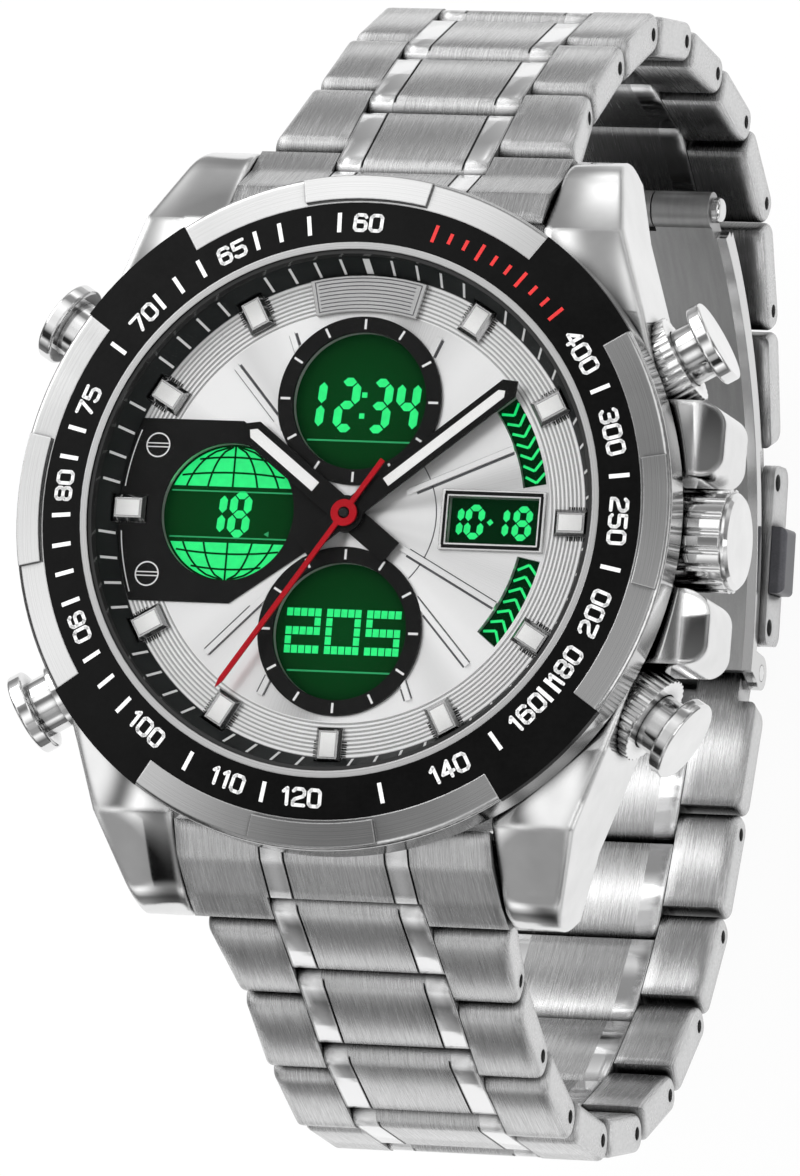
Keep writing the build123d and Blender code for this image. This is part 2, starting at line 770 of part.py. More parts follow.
def make_end_link(side, near, far):
    t = link_half_thickness
    half = lug_inner_half_width - end_link_gap
    root = side * end_link_top_reach
    top = bezel_edge_height - end_link_top_drop
    knee = (side * end_link_knee_reach, bezel_edge_height - end_link_knee_drop)
    edge = chain_point(near, far, side, -running, t)
    with BuildPart() as end_link:
        with BuildSketch(across(half)):
            with BuildLine():
                Polyline((root, top), knee, edge, chain_point(near, far, side, -running, -t),
                         (root, top - 2 * end_link_thickness), close=True)
            make_face()
        extrude(amount=2 * half)
        # two ears round the spring bar, beside the first link's tongue
        ear = half - centre_half_width - centre_side_gap
        for s in (-1, 1):
            start = half - ear if s == 1 else -half
            with BuildSketch(Plane.YZ.offset(start)):
                with BuildLine():
                    Polyline(chain_point(near, far, side, 0, -t),
                             chain_point(near, far, side, -running, -t), edge,
                             chain_point(near, far, side, t - end_ear_bevel, t),
                             chain_point(near, far, side, t, t - end_ear_bevel),
                             chain_point(near, far, side, t, 0))
                    mid = t * cos(radians(45))
                    ThreePointArc(chain_point(near, far, side, t, 0),
                                  chain_point(near, far, side, mid, -mid),
                                  chain_point(near, far, side, 0, -t))
                make_face()
            extrude(amount=ear)
        # grooves beside the polished strips
        for s in (-1, 1):
            for line in (strip_inner_half_width, centre_half_width):
                if line == centre_half_width:
                    line -= strip_groove_width
                with BuildSketch(Plane.YZ.offset(s * line - strip_groove_width / 2)):
                    with BuildLine():
                        Polyline((root, top + overrun), (knee[0], knee[1] + overrun),
                                 chain_point(near, far, side, -running, t + overrun),
                                 chain_point(near, far, side, -running, t - strip_groove_depth),
                                 (knee[0], knee[1] - strip_groove_depth),
                                 (root, top - strip_groove_depth), close=True)
                    make_face()
                extrude(amount=strip_groove_width, mode=Mode.SUBTRACT)
        # seat against the round case, and the bar's holes
        with BuildSketch(Plane.XY.offset(top - 2 * end_link_thickness - overrun)):
            Circle(case_radius + end_link_gap)
        extrude(amount=2 * end_link_thickness + 2 * overrun, mode=Mode.SUBTRACT)
        with BuildSketch(across(half + overrun)):
            with Locations(near):
                Circle(bar_radius + bar_hole_clearance)
        extrude(amount=2 * (half + overrun), mode=Mode.SUBTRACT)
    return end_link


bar_half = lug_inner_half_width + bar_end_depth
stub_start = centre_half_width + centre_side_gap
with BuildPart() as bar_stubs:
    for s in (-1, 1):
        with BuildSketch(Plane.YZ.offset(stub_start if s == 1 else -bar_half)):
            with Locations(pivots_12[0]):
                Circle(bar_radius)
        extrude(amount=bar_half - stub_start)
with BuildPart() as whole_bar:
    with BuildSketch(across(bar_half)):
        with Locations(pivots_6[0]):
            Circle(bar_radius)
    extrude(amount=2 * bar_half)

for side, pivots, bar, label in ((1, pivots_12, bar_stubs, "end_link_12"),
                                 (-1, pivots_6, whole_bar, "end_link_6")):
    end_link = make_end_link(side, pivots[0], pivots[1])
    save(Compound(children=list(end_link.part.solids()) + list(bar.part.solids())), label)


# Case middle.

def make_lug(sx, sy):
    with BuildPart() as lug:
        start = lug_inner_half_width if sx == 1 else -case_radius
        with BuildSketch(Plane.YZ.offset(start)) as section:
            with BuildLine():
                Polyline((sy * lug_root, case_top),
                         (sy * lug_knee_reach, bezel_edge_height - lug_knee_drop),
                         (sy * lug_front_reach, bezel_edge_height - lug_front_drop),
                         (sy * lug_tip_reach, bezel_edge_height - lug_tip_drop),
                         (sy * lug_foot_reach, bezel_edge_height - lug_foot_drop),
                         (sy * lug_under_reach, case_bottom),
                         (sy * lug_root, case_bottom), close=True)
            make_face()
            fillet(sorted(section.vertices(), key=lambda v: sy * v.X)[-2], radius=lug_front_round)
            fillet(sorted(section.vertices(), key=lambda v: sy * v.X)[-1], radius=lug_tip_round)
        extrude(amount=case_radius - lug_inner_half_width)
        # the outer side narrows towards the tip
        root_half_width = sqrt(case_radius ** 2 - lug_root ** 2)
        far = sy * (lug_tip_reach + overrun)
        wide = sx * (case_radius + overrun)
        with BuildSketch(Plane.XY.offset(bezel_edge_height - lug_foot_drop - overrun)):
            with BuildLine():
                Polyline((sx * root_half_width, sy * (lug_root - overrun)),
                         (sx * root_half_width, sy * lug_root),
                         (sx * lug_base_half_width, sy * lug_base_reach),
                         (sx * lug_shoulder_half_width, sy * lug_shoulder_reach),
                         (sx * lug_tip_half_width, sy * lug_tip_reach),
                         (sx * lug_tip_half_width, far), (wide, far),
                         (wide, sy * (lug_root - overrun)), close=True)
            make_face()
        extrude(amount=lug_foot_drop + 2 * overrun, mode=Mode.SUBTRACT)
        outer = [e for e in lug.edges() if sy * e.center().Y > lug_base_reach
                 and e.length > lug_tip_reach - lug_foot_reach
                 and abs(e.tangent_at(0).X) < abs(e.tangent_at(0).Y) + abs(e.tangent_at(0).Z)]
        fillet(outer, radius=lug_fillet)
    return lug


def make_guard(s):
    with BuildPart() as guard:
        with BuildSketch(Plane.XZ.offset(-s * guard_inner_half if s == -1 else -guard_outer_half)):
            with BuildLine():
                top = bezel_edge_height - guard_top_drop
                low = bezel_edge_height - guard_bottom_drop
                Polyline((guard_inner_radius, top), (guard_knee_reach, top),
                         (guard_reach, bezel_edge_height - guard_front_drop), (guard_reach, low),
                         (guard_inner_radius, low), close=True)
            make_face()
        extrude(amount=guard_outer_half - guard_inner_half)
        corners = guard.edges().filter_by(Axis.Z).group_by(Axis.X)[-1]
        fillet(corners, radius=guard_corner)
    return guard


pusher_angles = [90 - pusher_angle, 90 + pusher_angle, 270 - pusher_angle, 270 + pusher_angle]


def collar_size(angle):
    return collar_radius if angle < 180 else plain_collar_radius


lugs = [make_lug(sx, sy) for sx in (-1, 1) for sy in (-1, 1)]
guards = [make_guard(s) for s in (-1, 1)]

with BuildPart() as mid_case:
    with BuildSketch(Plane.XY.offset(case_bottom)):
        Circle(case_radius)
    extrude(amount=case_top - case_bottom)
    fillet(mid_case.edges().group_by(Axis.Z)[0], radius=case_fillet)
    for piece in lugs + guards:
        add(piece.part)
    with BuildSketch(Plane.XY.offset(case_bottom - overrun)):
        Circle(case_bore_radius)
    extrude(amount=case_top - case_bottom + 2 * overrun, mode=Mode.SUBTRACT)
    # seats and shaft holes of the four pushers
    for angle in pusher_angles:
        with BuildSketch(clock_plane(angle, collar_start, side_axis)):
            Circle(collar_size(angle) + seat_clearance)
        extrude(amount=collar_end, mode=Mode.SUBTRACT)
        with BuildSketch(clock_plane(angle, case_bore_radius - overrun, side_axis)):
            Circle(pusher_shaft_radius + collar_bore_gap)
        extrude(amount=collar_start, mode=Mode.SUBTRACT)
    # seat of the crown's collar, and the crown tube's hole
    with BuildSketch(clock_plane(90, case_radius - crown_collar_length, side_axis)):
        Circle(crown_collar_radius + seat_clearance)
    extrude(amount=guard_reach, mode=Mode.SUBTRACT)
    with BuildSketch(clock_plane(90, case_bore_radius - overrun, side_axis)):
        Circle(tube_radius + seat_clearance)
    extrude(amount=case_radius, mode=Mode.SUBTRACT)
    # spring bar holes in the lugs
    for pivot in (pivots_12[0], pivots_6[0]):
        with BuildSketch(across(bar_half)):
            with Locations(pivot):
                Circle(bar_radius + bar_hole_clearance)
        extrude(amount=2 * bar_half, mode=Mode.SUBTRACT)
    with BuildSketch(Plane.XY.offset(case_bottom - overrun)):
        with PolarLocations(back_screw_circle, back_screw_count, start_angle=45):
            Circle(back_screw_radius + seat_clearance)
    extrude(amount=back_screw_length + overrun, mode=Mode.SUBTRACT)
save(mid_case.part, "mid_case")


# Bezel and crystal.

def ring_plane(angle):
    # upright plane through the case axis: local x is the radius, local y is Z
    a = radians(angle)
    return Plane(origin=(0, 0, 0), x_dir=(cos(a), sin(a), 0), z_dir=(sin(a), -cos(a), 0))


def bezel_surface(radius):
    return bezel_edge_height + bezel_rise * (bezel_radius - radius) / (bezel_radius - lip_radius)


def sloped_band(inner, outer, low, high):
    # section of a band that follows the bezel's slope
    with BuildSketch(mode=Mode.PRIVATE) as section:
        with BuildLine():
            Polyline((inner, bezel_surface(inner) + low), (outer, bezel_surface(outer) + low),
                     (outer, bezel_surface(outer) + high), (inner, bezel_surface(inner) + high),
                     close=True)
        make_face()
    return section.sketch


with BuildPart() as bezel_ring:
    with BuildSketch(Plane.XZ):
        with BuildLine():
            Polyline((bezel_inner_radius, bezel_bottom), (bezel_radius, bezel_bottom),
                     (bezel_radius, bezel_edge_height), (lip_radius, bezel_surface(lip_radius)),
                     (bezel_inner_radius, bezel_surface(lip_radius)), close=True)
        make_face()
    revolve(axis=Axis.Z)
    rim = [e for e in bezel_ring.edges().filter_by(GeomType.CIRCLE)
           if e.radius > lip_radius + bezel_rise]
    fillet(rim, radius=bezel_fillet)
    for k in range(pad_count):
        turn = 360 / pad_count * k
        with BuildSketch(ring_plane(turn - pad_half_angle)):
            outer = bezel_radius - pad_inset
            add(sloped_band(outer - pad_width, outer, -bezel_fillet, pad_height))
        revolve(axis=Axis.Z, revolution_arc=2 * pad_half_angle)
    # seat of the dark insert
    with BuildSketch(Plane.XZ):
        add(sloped_band(lip_radius, insert_outer_radius, -insert_thickness, overrun))
    revolve(axis=Axis.Z, mode=Mode.SUBTRACT)
    for k in range(ear_count):
        turn = 45 + 360 / ear_count * k
        with BuildSketch(ring_plane(turn - insert_ear_half_angle)):
            add(sloped_band(lip_radius + overrun, bezel_radius + overrun, -insert_thickness, overrun))
        revolve(axis=Axis.Z, revolution_arc=2 * insert_ear_half_angle, mode=Mode.SUBTRACT)
save(bezel_ring.part, "bezel_ring")

ear_half = insert_ear_half_angle - degrees(seat_clearance / insert_outer_radius)
between = 360 / ear_count - 2 * ear_half
with BuildPart() as bezel_insert:
    with BuildSketch(Plane.XZ):
        add(sloped_band(lip_radius + seat_clearance, bezel_radius, seat_clearance - insert_thickness,
                        0))
    revolve(axis=Axis.Z)
    # cut back between the ears
    for k in range(ear_count):
        turn = 45 + 360 / ear_count * k
        with BuildSketch(ring_plane(turn + ear_half)):
            add(sloped_band(insert_outer_radius - seat_clearance, bezel_radius + overrun,
                            -insert_thickness - overrun, overrun))
        revolve(axis=Axis.Z, revolution_arc=between, mode=Mode.SUBTRACT)
save(bezel_insert.part, "bezel_insert")

gasket_outer = bezel_inner_radius - seat_clearance
crystal_radius = gasket_outer - crystal_gasket_thickness
with BuildPart() as crystal:
    with BuildSketch(Plane.XY.offset(crystal_bottom)):
        Circle(crystal_radius)
    extrude(amount=crystal_thickness)
    chamfer(crystal.edges().group_by(Axis.Z)[-1], length=crystal_chamfer)
save(crystal.part, "crystal")

with BuildPart() as crystal_gasket:
    with BuildSketch(Plane.XY.offset(crystal_bottom)):
        Circle(gasket_outer)
        Circle(crystal_radius + seat_clearance, mode=Mode.SUBTRACT)
    extrude(amount=crystal_thickness - crystal_gasket_top)
save(crystal_gasket.part, "crystal_gasket")

track_outer_radius = bezel_inner_radius - track_gap
track_top = crystal_bottom - track_gap


def marker_plane(angle):
    a = radians(angle)
    return Plane(origin=(marker_radius * sin(a), marker_radius * cos(a), dial_height),
                 x_dir=(sin(a), cos(a), 0), z_dir=(0, 0, 1))


marker_angles = [360 / hour_count * k for k in range(1, hour_count)]
with BuildPart() as minute_track_ring:
    with BuildSketch(Plane.XZ):
        with BuildLine():
            Polyline((track_inner_radius, dial_height), (track_outer_radius, dial_height),
                     (track_outer_radius, track_top),
                     (track_outer_radius - track_top_width, track_top), close=True)
        make_face()
    revolve(axis=Axis.Z)
    # notches for the outer ends of the hour markers
    for angle in marker_angles:
        with BuildSketch(marker_plane(angle)):
            Rectangle(marker_length + 2 * marker_gap, marker_width + 2 * marker_gap)
        extrude(amount=marker_height + marker_gap, mode=Mode.SUBTRACT)
save(minute_track_ring.part, "minute_track_ring")


# Dial and its applied pieces.

def clock_place(angle, reach):
    return (reach * sin(radians(angle)), reach * cos(radians(angle)))


def side_plate_outline():
    corner = sqrt(side_plate_left ** 2 - side_plate_top ** 2)
    Polyline((-corner, side_plate_top), (-side_plate_right, side_plate_top),
             (-side_plate_tip, side_plate_tip), (-side_plate_tip, -side_plate_tip),
             (-side_plate_right, -side_plate_top), (-corner, -side_plate_top))
    ThreePointArc((-corner, -side_plate_top), (-side_plate_left, 0), (-corner, side_plate_top))


date_middle = (date_left + date_right) / 2
date_length = date_right - date_left
subdials = [(0, subdial_reach), (0, -subdial_reach)]
centre_hole = hour_pipe_radius + arbor_clearance


chevron_middle = (chevron_inner_radius + chevron_outer_radius) / 2
chevron_rise = degrees(asin(chevron_end / chevron_middle))
chevron_span = degrees(asin(chevron_start / chevron_middle)) - chevron_rise


def chevron_window(start):
    # outline of a band between two radii, from one clock angle to a later one
    span = chevron_span
    with BuildSketch(mode=Mode.PRIVATE) as window:
        with BuildLine():
            a = CenterArc((0, 0), chevron_inner_radius, 90 - start - span, span)
            b = CenterArc((0, 0), chevron_outer_radius, 90 - start - span, span)
            Line(a @ 0, b @ 0)
            Line(a @ 1, b @ 1)
        make_face()
    return window.sketch


chevron_starts = [90 - chevron_rise - chevron_span, 90 + chevron_rise]

with BuildPart() as dial:
    with BuildSketch(Plane.XY.offset(dial_bottom)):
        Circle(dial_radius)
    extrude(amount=dial_thickness)
    # raised ribs between the displays
    for angle in rib_angles:
        place = clock_place(angle, (rib_start + rib_end) / 2)
        with BuildSketch(Plane(origin=(place[0], place[1], dial_height - rib_height),
                               x_dir=(sin(radians(angle)), cos(radians(angle)), 0), z_dir=(0, 0, 1))):
            Rectangle(rib_end - rib_start, rib_width)
        extrude(amount=2 * rib_height)
    with BuildSketch(Plane.XY.offset(dial_height)):
        with Locations(*subdials):
            Circle(subdial_radius + ring_gap)
        with Locations((date_middle, 0)):
            Rectangle(date_length + 2 * ring_gap, 2 * (date_half_height + ring_gap))
        with BuildLine():
            side_plate_outline()
        make_face()
    extrude(amount=overrun, mode=Mode.SUBTRACT)
    # fine rings near the edge
    for k in range(groove_count):
        r = groove_start_radius + k * groove_pitch
        with BuildSketch(Plane.XY.offset(dial_height - groove_depth)):
            Circle(r + groove_width / 2)
            Circle(r - groove_width / 2, mode=Mode.SUBTRACT)
        extrude(amount=overrun, mode=Mode.SUBTRACT)
    # windows over the displays, and the hands' hole
    with BuildSketch(Plane.XY.offset(dial_bottom - overrun)):
        with Locations(*subdials, (-left_display_reach, 0)):
            Circle(display_radius)
        with Locations((date_middle, 0)):
            Rectangle(date_length - 2 * date_border, 2 * (date_half_height - date_border))
        Circle(centre_hole)
        for start in chevron_starts:
            add(chevron_window(start))
    extrude(amount=dial_thickness + 2 * overrun, mode=Mode.SUBTRACT)
save(dial.part, "dial")

with BuildPart() as hour_markers:
    for angle in marker_angles:
        with BuildSketch(marker_plane(angle)):
            Rectangle(marker_length, marker_width)
        extrude(amount=marker_height)
    chamfer(hour_markers.edges().group_by(Axis.Z)[-1], length=marker_chamfer)
    # name plate's place at twelve, left bare
    with BuildSketch(Plane.XY.offset(dial_height)):
        with BuildLine():
            a = CenterArc((0, 0), plaque_inner_radius, 90 - plaque_half_angle, 2 * plaque_half_angle)
            b = CenterArc((0, 0), plaque_outer_radius, 90 - plaque_half_angle, 2 * plaque_half_angle)
            Line(a @ 0, b @ 0)
            Line(a @ 1, b @ 1)
        make_face()
    extrude(amount=plaque_height)
save(hour_markers.part, "hour_markers")

with BuildPart() as subdial_rings:
    with BuildSketch(Plane.XY.offset(dial_height)):
        with Locations(*subdials):
            Circle(subdial_radius)
            Circle(display_radius, mode=Mode.SUBTRACT)
    extrude(amount=ring_height)
save(subdial_rings.part, "subdial_rings")

with BuildPart() as side_plate:
    with BuildSketch(Plane.XY.offset(dial_height)):
        with BuildLine():
            side_plate_outline()
        make_face()
        with Locations((-left_display_reach, 0)):
            Circle(display_radius, mode=Mode.SUBTRACT)
        with Locations((-marker_radius, 0)):
            Rectangle(marker_length + 2 * marker_gap, marker_width + 2 * marker_gap,
                      mode=Mode.SUBTRACT)
    extrude(amount=side_plate_height)
save(side_plate.part, "side_plate")

with BuildPart() as date_frame:
    with BuildSketch(Plane.XY.offset(dial_height)):
        with Locations((date_middle, 0)):
            Rectangle(date_length, 2 * date_half_height)
            Rectangle(date_length - 2 * date_border, 2 * (date_half_height - date_border),
                      mode=Mode.SUBTRACT)
    extrude(amount=ring_height)
save(date_frame.part, "date_frame")


# Movement.

def disc(name_radius, low, height, bore):
    with BuildPart() as plate:
        with BuildSketch(Plane.XY.offset(low)):
            Circle(name_radius)
            Circle(bore, mode=Mode.SUBTRACT)
        extrude(amount=height)
    return plate


display_panel = disc(display_panel_radius, display_bottom, display_thickness, centre_bore)
save(display_panel.part, "display_panel")

wheel_room = wheel_thickness + 2 * wheel_gap
with BuildPart() as movement_plate:
    with BuildSketch(Plane.XY.offset(plate_bottom)):
        Circle(movement_radius)
        Circle(centre_bore, mode=Mode.SUBTRACT)
    extrude(amount=movement_plate_thickness)
    with BuildSketch(Plane.XY.offset(plate_top - wheel_room)):
        Circle(hour_wheel_radius + arbor_clearance + wheel_gap)
    extrude(amount=wheel_room + overrun, mode=Mode.SUBTRACT)
save(movement_plate.part, "movement_plate")

circuit_board = disc(movement_radius, board_bottom, board_thickness, centre_bore)
save(circuit_board.part, "circuit_board")

with BuildPart() as battery:
    with BuildSketch(Plane.XY.offset(battery_top - battery_thickness)):
        with Locations((-battery_reach, 0)):
            Circle(battery_radius)
    extrude(amount=battery_thickness)
    fillet(battery.edges().group_by(Axis.Z)[0], radius=pin_radius)
save(battery.part, "battery")

coil_axis = battery_top - coil_end / 2
with BuildPart() as stepper_coil:
    with BuildSketch(across(coil_length / 2)):
        with Locations((coil_reach, coil_axis)):
            Circle(coil_radius)
    extrude(amount=coil_length)
    for s in (-1, 1):
        start = coil_length / 2 if s == 1 else -coil_length / 2 - coil_end_length
        with BuildSketch(Plane.YZ.offset(start)):
            with Locations((coil_reach, coil_axis)):
                Rectangle(coil_end, coil_end)
        extrude(amount=coil_end_length)
save(stepper_coil.part, "stepper_coil")

holder_bottom = case_bottom + back_step + display_gap
with BuildPart() as movement_holder:
    with BuildSketch(Plane.XY.offset(holder_bottom)):
        Circle(dial_radius)
        Circle(display_panel_radius + display_gap, mode=Mode.SUBTRACT)
    extrude(amount=dial_bottom - holder_bottom)
    with BuildSketch(clock_plane(90, display_panel_radius - overrun, side_axis)):
        Circle(stem_radius + arbor_clearance)
    extrude(amount=holder_wall + 2 * overrun, mode=Mode.SUBTRACT)
save(movement_holder.part, "movement_holder")


# Case back.

with BuildPart() as case_back:
    with BuildSketch(Plane.XY.offset(back_bottom)):
        Circle(back_radius)
    extrude(amount=back_thickness)
    chamfer(case_back.edges().group_by(Axis.Z)[0], length=back_screw_head)
    with BuildSketch(Plane.XY.offset(case_bottom)):
        Circle(back_step_radius)
    extrude(amount=back_step)
    with BuildSketch(Plane.XY.offset(back_bottom)):
        with PolarLocations(back_screw_circle, back_screw_count, start_angle=45):
            Circle(back_screw_radius + seat_clearance)
    extrude(amount=back_thickness, mode=Mode.SUBTRACT)
    with BuildSketch(Plane.XY.offset(back_bottom)):
        with PolarLocations(back_screw_circle, back_screw_count, start_angle=45):
            Circle(back_screw_head_radius + seat_clearance)
    extrude(amount=back_screw_head, mode=Mode.SUBTRACT)
save(case_back.part, "case_back")

with BuildPart() as case_back_screws:
    with BuildSketch(Plane.XY.offset(back_bottom)):
        with PolarLocations(back_screw_circle, back_screw_count, start_angle=45):
            Circle(back_screw_head_radius)
    extrude(amount=back_screw_head)
    with BuildSketch(Plane.XY.offset(back_bottom)):
        with PolarLocations(back_screw_circle, back_screw_count, start_angle=45):
            Circle(back_screw_radius)
    extrude(amount=back_screw_length)
    with BuildSketch(Plane.XY.offset(back_bottom)):
        with PolarLocations(back_screw_circle, back_screw_count, start_angle=45):
            Rectangle(3 * back_screw_head_radius, back_screw_slot)
    extrude(amount=back_screw_slot, mode=Mode.SUBTRACT)
save(case_back_screws.part, "case_back_screws")

with BuildPart() as case_back_seal:
    with BuildSketch(Plane.XY.offset(case_bottom)):
        Circle(case_bore_radius - seat_clearance)
        Circle(back_step_radius + seat_clearance, mode=Mode.SUBTRACT)
    extrude(amount=back_seal_thickness)
save(case_back_seal.part, "case_back_seal")


# Crown and its stem.

crown_back = crown_end - crown_length
with BuildPart() as crown:
    with BuildSketch(clock_plane(90, crown_back, side_axis)):
        Circle(crown_radius)
        with PolarLocations(crown_radius + flute_radius / 2, flute_count):
            Circle(flute_radius, mode=Mode.SUBTRACT)
    extrude(amount=crown_length - crown_edge)
    with BuildSketch(clock_plane(90, crown_end - crown_edge, side_axis)):
        Circle(crown_face_radius + crown_edge)
    extrude(amount=crown_edge)
    chamfer(crown.edges().group_by(Axis.X)[-1], length=crown_edge / 2)
    # recess round the crown tube, and the stem's hole
    with BuildSketch(clock_plane(90, crown_back, side_axis)):
        Circle(tube_radius + crown_recess_gap)
    extrude(amount=crown_recess, mode=Mode.SUBTRACT)
    with BuildSketch(clock_plane(90, crown_back, side_axis)):
        Circle(stem_radius)
    extrude(amount=crown_recess + crown_edge, mode=Mode.SUBTRACT)
save(crown.part, "crown")

with BuildPart() as winding_stem:
    with BuildSketch(clock_plane(90, stem_start, side_axis)):
        Circle(stem_radius)
    extrude(amount=crown_back + crown_recess + crown_edge - stem_start)
save(winding_stem.part, "winding_stem")

with BuildPart() as crown_tube:
    with BuildSketch(clock_plane(90, case_bore_radius, side_axis)):
        Circle(tube_radius)
        Circle(tube_radius - tube_wall, mode=Mode.SUBTRACT)
    extrude(amount=tube_end - case_bore_radius)
    with BuildSketch(clock_plane(90, case_radius - crown_collar_length, side_axis)):
        Circle(crown_collar_radius)
        with PolarLocations(crown_collar_radius + collar_tooth_radius / 2, collar_tooth_count):
            Circle(collar_tooth_radius, mode=Mode.SUBTRACT)
        Circle(tube_radius - tube_wall, mode=Mode.SUBTRACT)
    extrude(amount=crown_collar_length)
save(crown_tube.part, "crown_tube")

with BuildPart() as crown_seal:
    with BuildSketch(clock_plane(90, seal_place, side_axis)):
        Circle(tube_radius - tube_wall - arbor_clearance)
        Circle(stem_radius + seat_clearance, mode=Mode.SUBTRACT)
    extrude(amount=seal_length)
save(crown_seal.part, "crown_seal")


# Pushers.

for angle, label in zip(pusher_angles, ("pusher_2", "pusher_4", "pusher_8", "pusher_10")):
    with BuildPart() as pusher:
        with BuildSketch(clock_plane(angle, pusher_shaft_inner, side_axis)):
            Circle(pusher_shaft_radius)
        extrude(amount=pusher_neck_end - pusher_shaft_inner)
        with BuildSketch(clock_plane(angle, pusher_neck_end, side_axis)):
            Circle(pusher_neck_radius)
        extrude(amount=pusher_end - pusher_head_length - pusher_neck_end)
        with BuildSketch(clock_plane(angle, pusher_end - pusher_head_length, side_axis)):
            Circle(pusher_head_radius)
        extrude(amount=pusher_head_length)
        heads = [e for e in pusher.edges().filter_by(GeomType.CIRCLE)
                 if e.radius > pusher_neck_radius + pusher_edge]
        fillet(heads, radius=pusher_edge)
    save(pusher.part, label)

with BuildPart() as pusher_collars:
    for angle in pusher_angles:
        size = collar_size(angle)
        with BuildSketch(clock_plane(angle, collar_start, side_axis)):
            Circle(size)
            if angle < 180:
                with PolarLocations(size + collar_tooth_radius / 2, collar_tooth_count):
                    Circle(collar_tooth_radius, mode=Mode.SUBTRACT)
        extrude(amount=collar_end - collar_start)
        if angle > 180:
            with BuildSketch(clock_plane(angle, collar_end - collar_step_length, side_axis)):
                Circle(size + overrun)
                Circle(size - collar_step, mode=Mode.SUBTRACT)
            extrude(amount=collar_step_length + overrun, mode=Mode.SUBTRACT)
        with BuildSketch(clock_plane(angle, collar_floor, side_axis)):
            Circle(pusher_neck_radius + collar_bore_gap)
        extrude(amount=collar_end, mode=Mode.SUBTRACT)
        with BuildSketch(clock_plane(angle, collar_start - overrun, side_axis)):
            Circle(pusher_shaft_radius + collar_bore_gap)
        extrude(amount=collar_end - collar_start, mode=Mode.SUBTRACT)
save(pusher_collars.part, "pusher_collars")


# Hands.

def hand_plane(angle, level):
    a = radians(angle)
    return Plane(origin=(0, 0, level), x_dir=(sin(a), cos(a), 0), z_dir=(0, 0, 1))


def hand_outline(length, tail, width, point):
    Polyline((-tail, -width / 2), (length - point, -width / 2), (length, 0),
             (length - point, width / 2), (-tail, width / 2), close=True)


hour_level = dial_height + hour_hand_lift
minute_level = dial_height + minute_hand_lift
second_level = dial_height + second_hand_lift
wheel_bottom = plate_top - wheel_gap - wheel_thickness
pinion_bottom = plate_top - wheel_room - pinion_thickness

with BuildPart() as hour_hand:
    with BuildSketch(hand_plane(hour_hand_angle, hour_level)):
        with BuildLine():
            hand_outline(hour_hand_length, hour_hand_tail, hour_hand_width, hour_hand_width / 2)
        make_face()
        Circle(hand_hub_radius)
    extrude(amount=hand_thickness)
    with BuildSketch(Plane.XY.offset(wheel_bottom)):
        Circle(hour_pipe_radius)
    extrude(amount=hour_level - wheel_bottom)
    with BuildSketch(Plane.XY.offset(wheel_bottom)):
        Circle(hour_wheel_radius)
    extrude(amount=wheel_thickness)
    with BuildSketch(Plane.XY.offset(wheel_bottom)):
        Circle(minute_pipe_radius + arbor_clearance)
    extrude(amount=hour_level + overrun - wheel_bottom, mode=Mode.SUBTRACT)
save(hour_hand.part, "hour_hand")

with BuildPart() as minute_hand:
    with BuildSketch(hand_plane(minute_hand_angle, minute_level)):
        with BuildLine():
            hand_outline(minute_hand_length, minute_hand_tail, minute_hand_width,
                         minute_hand_width / 2)
        make_face()
        Circle(hand_hub_radius)
    extrude(amount=hand_thickness)
    with BuildSketch(Plane.XY.offset(pinion_bottom)):
        Circle(minute_pipe_radius)
    extrude(amount=minute_level - pinion_bottom)
    with BuildSketch(Plane.XY.offset(pinion_bottom)):
        Circle(pinion_radius)
    extrude(amount=pinion_thickness - wheel_gap)
    with BuildSketch(Plane.XY.offset(pinion_bottom)):
        Circle(second_arbor_radius + arbor_clearance)
    extrude(amount=minute_level + overrun - pinion_bottom, mode=Mode.SUBTRACT)
save(minute_hand.part, "minute_hand")

with BuildPart() as second_hand:
    with BuildSketch(hand_plane(second_hand_angle, second_level)):
        with BuildLine():
            hand_outline(second_hand_length, second_hand_tail, second_hand_width,
                         2 * second_hand_width)
        make_face()
        Circle(second_hub_radius)
    extrude(amount=hand_thickness)
    with BuildSketch(Plane.XY.offset(plate_bottom)):
        Circle(second_arbor_radius)
    extrude(amount=second_level - plate_bottom)
save(second_hand.part, "second_hand")
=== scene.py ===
# %% [markdown]
# A steel wristwatch with hands and green digital displays.
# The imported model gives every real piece: case, bezel, dial, hands, links and clasp.
# This lesson dresses it. It adds the printed numbers and lines, the lit display segments
# and the white inlays, and gives each surface its own finish.
# Lengths are written in millimetres and turned to metres by MM.

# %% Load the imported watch
import bpy
import bmesh
import json
from math import sin, cos, radians, degrees, pi, atan2, hypot, sqrt
from mathutils import Matrix, Vector


